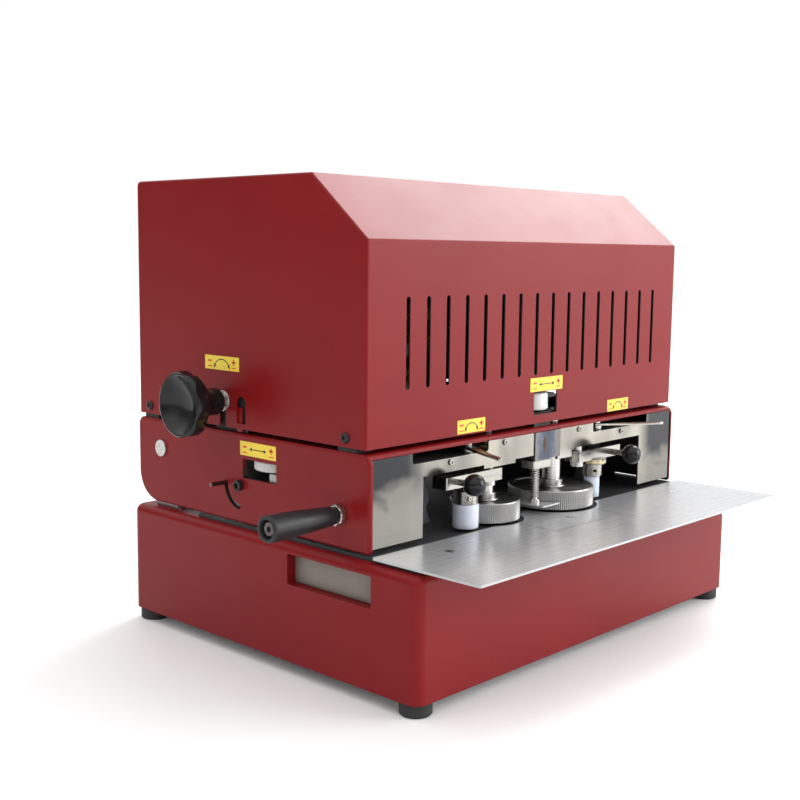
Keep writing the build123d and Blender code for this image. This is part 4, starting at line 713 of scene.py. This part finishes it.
# ---------------------------------------------------------------- rollers, wheels, dials
for side in ("left", "right"):
    low, high, middle = centre_of(f"{side}_guide_roller")
    radius, z0, z1 = (high.x - low.x) / 2 / MM, low.z / MM, high.z / MM
    rows = [(z0, 3.1), (z0, radius - 0.9), (z0 + 0.25, radius - 0.35), (z0 + 0.9, radius)]
    rows += [(z0 + 7.0, radius), (z1 - 7.0, radius)]
    rows += [(z1 - 0.9, radius), (z1 - 0.25, radius - 0.35), (z1, radius - 0.9), (z1, 3.1)]
    roller = Piece(f"{side}_roller_body", nylon)
    roller.turned(rows, Vector((middle.x, middle.y, 0)), "Z", 96, closed=True)
    roller.build(f"{side}_roller", [f"{side}_guide_roller"])



def fine_ribs(count, depth, sharpness=1.0):
    """The depth of a rim's ribs at an angle."""
    return lambda angle: depth * (0.5 + 0.5 * math.cos(count * angle)) ** sharpness


STEPS_PER_RIB = 6
RIB_PITCH = 2.05
for side, hub in (("left", 12.5), ("right", 14.3)):
    low, high, middle = centre_of(f"{side}_feed_wheel")
    radius, z0, z1 = (high.x - low.x) / 2 / MM, low.z / MM, high.z / MM
    axle = Vector((middle.x, middle.y, 0))
    ribs = round(2 * math.pi * radius / RIB_PITCH)
    rows = [(z0, hub - 6), (z0, radius - 1.2), (z0 + 0.8, radius - 0.1), (z0 + 1.0, radius, "s")]
    rows += [(z1 - 1.7, radius, "s"), (z1 - 1.5, radius - 0.12), (z1 - 0.7, radius - 0.1), (z1 - 0.15, radius - 0.5)]
    rows += [(z1, radius - 1.0), (z1, radius - 3.7), (z1 - 0.3, radius - 4.0), (z1 - 1.2, radius - 4.3)]
    rows += [(z1 - 1.2, hub + 0.3), (z1 - 0.9, hub), (z1 - 0.1, hub - 0.2), (z1, hub - 0.5), (z1, hub - 6)]
    face = turned(f"turned_{side}_wheel", axle, "Z", (0.46, 0.45, 0.44), (0.30, 0.30, 0.295), 0.26, 0.42, 900.0)
    wheel = Piece(f"{side}_wheel_body", face)
    wheel.turned(rows, axle, "Z", ribs * STEPS_PER_RIB, shape=fine_ribs(ribs, 0.55, 1.5))
    wheel.build(f"{side}_wheel", [f"{side}_feed_wheel"], sharp=50)

DIAL_RIBS, DRUM_RIBS = 96, 60
low, high, middle = centre_of("speed_dial")
radius, z0, z1 = (high.x - low.x) / 2 / MM, low.z / MM, high.z / MM
axle = Vector((middle.x, middle.y, 0))
dial = Piece("speed_dial_body", pale, plated)
rows = [(z0, 3.2), (z0, radius - 1.1), (z0 + 0.3, radius - 0.6), (z0 + 0.8, radius - 0.2, "s"), (z0 + 1.0, radius, "s")]
rows += [(z0 + 5.6, radius, "s"), (z0 + 5.8, radius - 0.5), (z0 + 6.2, radius - 0.1), (z0 + 8.3, radius - 0.1)]
rows += [(z0 + 8.8, radius - 0.5), (z0 + 9.0, radius - 1.0), (z0 + 9.0, 3.2)]
dial.turned(rows, axle, "Z", DIAL_RIBS * STEPS_PER_RIB, closed=True, shape=fine_ribs(DIAL_RIBS, 0.5))
dial.turned([(z0 - 0.02, 0), (z0 - 0.02, 3.0), (z1, 3.0), (z1, 0)], axle, "Z", 48, tag=1)
dial.build("speed_dial", ["speed_dial"], sharp=50)

low, high, middle = centre_of("height_wheel")
radius, z0, z1 = (high.x - low.x) / 2 / MM, low.z / MM, high.z / MM
axle = Vector((middle.x, middle.y, 0))
drum = Piece("height_wheel_body", pale, ground)
d0, d1 = 222.5, 239.5
rows = [(d0, 4.0), (d0, radius - 1.6), (d0 + 0.5, radius - 0.9), (d0 + 1.5, radius - 0.1), (d0 + 1.8, radius, "s")]
rows += [(d0 + 5.0, radius, "s"), (d0 + 5.2, radius - 0.25), (d1 - 1.5, radius - 0.25), (d1 - 0.5, radius - 0.9)]
rows += [(d1, radius - 1.6), (d1, 4.0)]
drum.turned(rows, axle, "Z", DRUM_RIBS * STEPS_PER_RIB, closed=True, shape=fine_ribs(DRUM_RIBS, 0.4))
drum.turned([(z0, 0), (z0, 3.6), (z0 + 0.4, 4.0), (z1 - 0.4, 4.0), (z1, 3.6), (z1, 0)], axle, "Z", 48, tag=1)
drum.build("height_wheel", ["height_wheel"], sharp=50)

# ---------------------------------------------------------------- spring of the presser
low, high, middle = centre_of("presser_spring")
coil_low, coil_high = low.z / MM + 0.6, high.z / MM - 0.6
TURNS, STEPS = 12, 22
COIL_RADIUS, WIRE_RADIUS = 3.85, 0.58
points = []
for i in range(TURNS * STEPS + 1):
    t = i / (TURNS * STEPS)
    ease = 0.5 - 0.5 * math.cos(math.pi * t)
    rise = 0.82 * t + 0.18 * ease
    angle = 2 * math.pi * (i / STEPS)
    x, y = middle.x / MM + COIL_RADIUS * math.cos(angle), middle.y / MM + COIL_RADIUS * math.sin(angle)
    points.append((x, y, coil_low + (coil_high - coil_low) * rise))
spring = Piece("presser_coil_spring", drawn)
spring.tube(points, WIRE_RADIUS, 8)
coil = spring.build("head", ["presser_spring"], sharp=60, ride=False)
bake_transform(coil)

# ---------------------------------------------------------------- levers over the trim
for side, pivot, degrees in (("left", (-101.0, -119.0), 27.0), ("right", (107.0, -119.0), -53.0)):
    low, high, middle = centre_of(f"{side}_lever")
    turn = math.radians(-degrees)
    u = Vector((math.cos(turn), math.sin(turn), 0))
    v = Vector((-math.sin(turn), math.cos(turn), 0))
    outline = []
    for k in range(13):
        t = k / 12
        outline.append((2.0 + 4.0 * (1 - t) ** 1.3 - 1.5 * math.sin(math.pi * t), -72.5 * t))
    outline += [(1.2, -73.6), (0, -74.0), (-1.2, -73.6)]
    for k in range(12, -1, -1):
        t = k / 12
        outline.append((-2.0 - 4.0 * (1 - t) ** 1.3 - 1.5 * math.sin(math.pi * t), -72.5 * t))
    for k in range(1, 12):
        angle = math.pi - math.pi * k / 12
        outline.append((6.6 * math.cos(angle), 6.6 * math.sin(angle)))
    lever = Piece(f"{side}_lever_blade", blade_steel)
    lever.slab(outline[::-1], (pivot[0], pivot[1], low.z / MM), u, v, 2.5, 0.55)
    lever.build(f"{side}_lever", [f"{side}_lever"])

# ---------------------------------------------------------------- black screws
screws = Piece("black_socket_screws", black_steel, ground)
HOOD_SCREWS = [(-102.5, 219.0), (177.5, 219.0)]
for sign in (-1, 1):
    for y, z in HOOD_SCREWS:
        line = Vector((0, y * MM, z * MM))
        socket_screw(screws, line, "X", sign * 240.0, sign * 242.8, 4.75, 1.5, 1.4, dome=True)
        screws.turned([(sign * 240.0, 2.4), (sign * 231.0, 2.4), (sign * 231.0, 0)], line, "X", 24)
for x, z in ((-137.0, 189.5), (137.0, 189.5), (-60.0, 199.0), (60.0, 199.0)):
    socket_screw(screws, Vector((x * MM, 0, z * MM)), "Y", -130.5, -132.1, 2.75, 1.2, 0.9, tag=1)
socket_screw(screws, ARC_PIVOT, "X", -240.0, -245.0, 5.0, 2.5, 2.6)
screws.turned([(-240.0, 3.0), (-228.4, 3.0), (-228.0, 2.6), (-228.0, 0)], ARC_PIVOT, "X", 24)
screws.build("head", ["black_screws"])

# ---------------------------------------------------------------- small steel details of the arms
details = Piece("left_arm_details", plated)
left_axle = Vector((-107.0, -123.5, 0)) * MM
details.turned([(158.7, 11.0), (158.9, 11.35), (159.1, 11.35), (159.3, 11.0)], left_axle, "Z", 72)
socket_screw(details, Vector((-113.0, -123.5, 153.0)) * MM, "Y", -8.8, -10.6, 2.3, 1.0, 0.9)
details.build("left_arm")
ring = Piece("right_arm_ring", brass)
rows = [(159.7, 10.2), (159.7, 13.2), (160.0, 13.9), (160.6, 14.25), (161.6, 14.35)]
rows += [(163.2, 14.35), (164.2, 14.25), (164.8, 13.8), (164.9, 13.0), (164.9, 6.7)]
ring.turned(rows, Vector((94.0, -124.5, 0)) * MM, "Z")
ring.build("right_arm")

# ---------------------------------------------------------------- labels: arrows and plain marks
LABEL_DEPTH, PRINT_DEPTH = 0.25, 0.04
ink = plastic("black_print", (0.012, 0.014, 0.010), (0.02, 0.02, 0.016), 0.4, 0.55, 900.0, 0.05)
red_ink = plastic("red_print", (0.76, 0.085, 0.012), (0.66, 0.060, 0.01), 0.4, 0.55, 900.0, 0.05)


def arc_arrow(width, height):
    """Outlines of a bent double arrow: the bow and its two heads."""
    radius = (width * width / 4 + height * height) / (2 * height)
    half = math.asin(min(1.0, width / 2 / radius)) * 0.86
    bow = []
    for sign, r in ((1, radius + 0.5), (-1, radius - 0.5)):
        steps = range(-12, 13) if sign > 0 else range(12, -13, -1)
        bow += [(r * math.sin(half * k / 12), r * math.cos(half * k / 12) - radius + height * 0.5) for k in steps]
    shapes = [bow]
    for sign in (-1, 1):
        angle = half * 0.96
        tip_angle = half + 4.2 / radius
        base = [(r * math.sin(angle), r * math.cos(angle)) for r in (radius + 1.8, radius - 1.8)]
        tip = (radius * math.sin(tip_angle), radius * math.cos(tip_angle))
        shapes.append([(sign * x, y - radius + height * 0.5) for x, y in (base[0], tip, base[1])])
    return shapes


def straight_arrow(width):
    half = width / 2
    return [
        [(-half + 2.6, -0.45), (half - 2.6, -0.45), (half - 2.6, 0.45), (-half + 2.6, 0.45)],
        [(-half, 0), (-half + 3.8, -1.8), (-half + 3.8, 1.8)],
        [(half, 0), (half - 3.8, 1.8), (half - 3.8, -1.8)],
    ]


def rectangle(x0, x1, y0, y1):
    return [(x0, y0), (x1, y0), (x1, y1), (x0, y1)]


def bar(x, y, width, height):
    return rectangle(x - width / 2, x + width / 2, y - height / 2, y + height / 2)


def print_on(piece, origin, u, v, shapes, tag):
    """Thin slabs on the plane of u and v, each outline turned the same way round."""
    for shape in shapes:
        area = sum(a[0] * b[1] - b[0] * a[1] for a, b in zip(shape, shape[1:] + shape[:1]))
        ordered = shape if area > 0 else shape[::-1]
        piece.slab(ordered, origin, u, v, PRINT_DEPTH, tag=tag)


def marks(reach):
    """A bar on one side and a cross on the other, each over a line."""
    left = [bar(-reach, 1.5, 5.6, 1.9), bar(-reach, -3.7, 6.4, 1.1)]
    right = [bar(reach, 1.5, 5.6, 1.7), bar(reach, 1.5, 1.7, 5.6), bar(reach, -3.7, 6.4, 1.1)]
    return left + right


prints = Piece("label_prints", ink, red_ink)
side_x = hood_low.x / MM - LABEL_DEPTH
front_y = hood_low.y / MM - LABEL_DEPTH
LEFT_FACING = ((0, -1, 0), (0, 0, 1))
FRONT_FACING = ((1, 0, 0), (0, 0, 1))
for origin, (u, v), shapes, reach in (
    ((side_x, 62.5, 270.0), LEFT_FACING, arc_arrow(22.0, 7.0), 17.5),
    ((side_x, 11.3, 194.0), LEFT_FACING, straight_arrow(24.0), 18.5),
    ((8.3, front_y, 248.7), FRONT_FACING, straight_arrow(25.0), 19.0),
    ((-104.7, front_y, 218.6), FRONT_FACING, arc_arrow(17.0, 5.6), 13.8),
    ((135.0, front_y, 217.4), FRONT_FACING, arc_arrow(17.0, 5.6), 13.8),
):
    print_on(prints, origin, u, v, shapes, 0)
    print_on(prints, origin, u, v, marks(reach), 1)
prints.build("head", sharp=30)

# ---------------------------------------------------------------- joints of the table's insert, and a painted highlight on its front edge
low, high, middle = centre_of("table_insert")
TABLE_SCREWS = [(-181.5, -169.0), (181.5, -169.0), (0.0, -162.5)]
JOINT_RELIEF = 0.03
x0, x1, y0, z0 = low.x / MM, high.x / MM, low.y / MM, high.z / MM
joint_and_highlight = Piece("table_insert_joint_and_painted_highlight", black_lining_and_shade, milled)
# Tag 0 strips are dark joint lines. The tag 1 strip along the front edge is a painted highlight, bright metal standing
# in for a chamfer that catches the light.
for (left, right), (front, rear), tag in (
    ((x0, x1), (y0 - 0.4, y0 + 0.1), 0),
    ((x0, x1), (y0 + 0.1, y0 + 1.5), 1),
    ((x0 - 0.35, x0 + 0.35), (y0, -146.0), 0),
    ((x1 - 0.35, x1 + 0.35), (y0, -158.5), 0),
):
    outline = rectangle(left, right, front, rear)
    joint_and_highlight.slab(outline, (0, 0, z0), (1, 0, 0), (0, 1, 0), JOINT_RELIEF, tag=tag)
z1 = z0 + JOINT_RELIEF
for x, y in TABLE_SCREWS:
    axle = Vector((x * MM, y * MM, 0))
    for inner, outer, tag in ((3.9, 4.3, 0), (1.2, 3.8, 1)):
        joint_and_highlight.turned([(z0, inner), (z1, inner), (z1, outer), (z0, outer)], axle, "Z", 48, closed=True, tag=tag)
joint_and_highlight.build("base")

# ---------------------------------------------------------------- seen through the small windows, with black sheets of painted shade behind them
bracket = Piece("dial_window_bracket", zinc)
bracket.block((-235.6, -17.0, 158.0), (-234.2, 0.5, 173.6), 0.3)
bracket.build("head")
# Painted shade: a dull black sheet behind the dial window stands in for the dark interior.
dial_shade_sheet = Piece("dial_painted_shade_sheet", black_lining_and_shade)
dial_shade_sheet.block((-189.0, 12.0, 135.0), (-187.6, 92.0, 184.6), 0.3)
dial_shade_sheet.build("head")
# Painted shade: a dull black sheet behind the knob slot stands in for the dark interior.
slot_shade_sheet = Piece("knob_slot_painted_shade_sheet", black_lining_and_shade)
slot_shade_sheet.block((-236.0, 30.0, 206.0), (-235.2, 53.0, 246.0), 0.2)
slot_shade_sheet.build("head")
tab = Piece("knob_slot_tab", red)
tab.block((-238.3, 35.2, 208.0), (-237.1, 43.5, 230.5), 0.3)
tab.build("head")

# ---------------------------------------------------------------- camera, floor and light
CAMERA_AT = Vector((-0.9173, -0.8023, 0.3741))
CAMERA_TO = Vector((-0.0932, -0.0265, 0.2316))
CAMERA_ROLL = math.radians(0.66)
data = bpy.data.cameras.new("camera")
data.lens, data.sensor_width = 52.93, 36.0
data.clip_start, data.clip_end = 0.05, 40.0
camera = bpy.data.objects.new("camera", data)
bpy.context.scene.collection.objects.link(camera)
ahead = (CAMERA_TO - CAMERA_AT).normalized()
across = ahead.cross(Vector((0, 0, 1))).normalized()
up = across.cross(ahead)
right = across * math.cos(CAMERA_ROLL) + up * math.sin(CAMERA_ROLL)
top = up * math.cos(CAMERA_ROLL) - across * math.sin(CAMERA_ROLL)
turn = Matrix((right, top, -ahead)).transposed().to_4x4()
camera.matrix_world = Matrix.Translation(CAMERA_AT) @ turn
bpy.context.scene.camera = camera

floor_shader = Shader("pale_floor", roughness=0.6)
floor_shader.colour(floor_shader.blend(floor_shader.noise(3.0, 3), (0.90, 0.90, 0.90), (0.87, 0.87, 0.87)))
floor_mesh = bpy.data.meshes.new("floor")
FLOOR = 9.0
corners = [(x, y, 0) for x, y in rectangle(-FLOOR, FLOOR, -FLOOR, FLOOR)]
floor_mesh.from_pydata(corners, [], [(0, 1, 2, 3)])
floor_mesh.materials.append(floor_shader.material)
floor = bpy.data.objects.new("floor", floor_mesh)
bpy.context.scene.collection.objects.link(floor)

# A bright ceiling, walls that are darker on the left, and a white backdrop behind the machine.
DARK_WALL, PALE_WALL, CEILING_LIGHT, BACKDROP = 0.15, 0.75, 1.5, 1.02
world = bpy.data.worlds.new("studio")
world.use_nodes = True
tree = world.node_tree


def world_range(value, numbers):
    """A smooth step from one brightness to another along a direction's coordinate."""
    node = tree.nodes.new("ShaderNodeMapRange")
    node.interpolation_type = "SMOOTHSTEP"
    for key, number in zip(("From Min", "From Max", "To Min", "To Max"), numbers):
        node.inputs[key].default_value = number
    tree.links.new(value, node.inputs["Value"])
    return node


direction = tree.nodes.new("ShaderNodeTexCoord")
split = tree.nodes.new("ShaderNodeSeparateXYZ")
tree.links.new(direction.outputs["Generated"], split.inputs[0])
wall = world_range(split.outputs["X"], (-0.4, 0.75, DARK_WALL, PALE_WALL))
rise = world_range(split.outputs["Z"], (0.15, 0.7, 0.0, CEILING_LIGHT))
tree.links.new(wall.outputs["Result"], rise.inputs["To Min"])
path = tree.nodes.new("ShaderNodeLightPath")
choose = tree.nodes.new("ShaderNodeMix")
choose.inputs[3].default_value = BACKDROP
tree.links.new(path.outputs["Is Camera Ray"], choose.inputs[0])
tree.links.new(rise.outputs["Result"], choose.inputs[2])
tree.links.new(choose.outputs[0], tree.nodes["Background"].inputs["Strength"])
tree.nodes["Background"].inputs["Color"].default_value = (1.0, 1.0, 1.0, 1)
bpy.context.scene.world = world


def softbox(name, place, target, width, height, power):
    """A white rectangular light, in metres and watts, that looks at its target."""
    light = bpy.data.lights.new(name, "AREA")
    light.shape, light.size, light.size_y = "RECTANGLE", width, height
    light.energy = power
    lamp = bpy.data.objects.new(name, light)
    bpy.context.scene.collection.objects.link(lamp)
    lamp.location = place
    lamp.rotation_mode = "QUATERNION"
    lamp.rotation_quaternion = (Vector(place) - Vector(target)).to_track_quat("Z", "Y")


softbox("key", (1.7, -2.0, 0.95), (0, 0, 0.2), 2.0, 1.5, 46)
softbox("overhead", (1.75, 0.45, 1.85), (0, 0, 0.3), 1.5, 1.4, 44)
softbox("left_fill", (-2.4, 0.2, 1.0), (0, 0, 0.2), 1.4, 1.2, 2)
softbox("front_fill", (-0.9, -2.1, 0.30), (0, -0.1, 0.15), 1.2, 0.6, 3)
bpy.context.scene.view_settings.view_transform = "Standard"
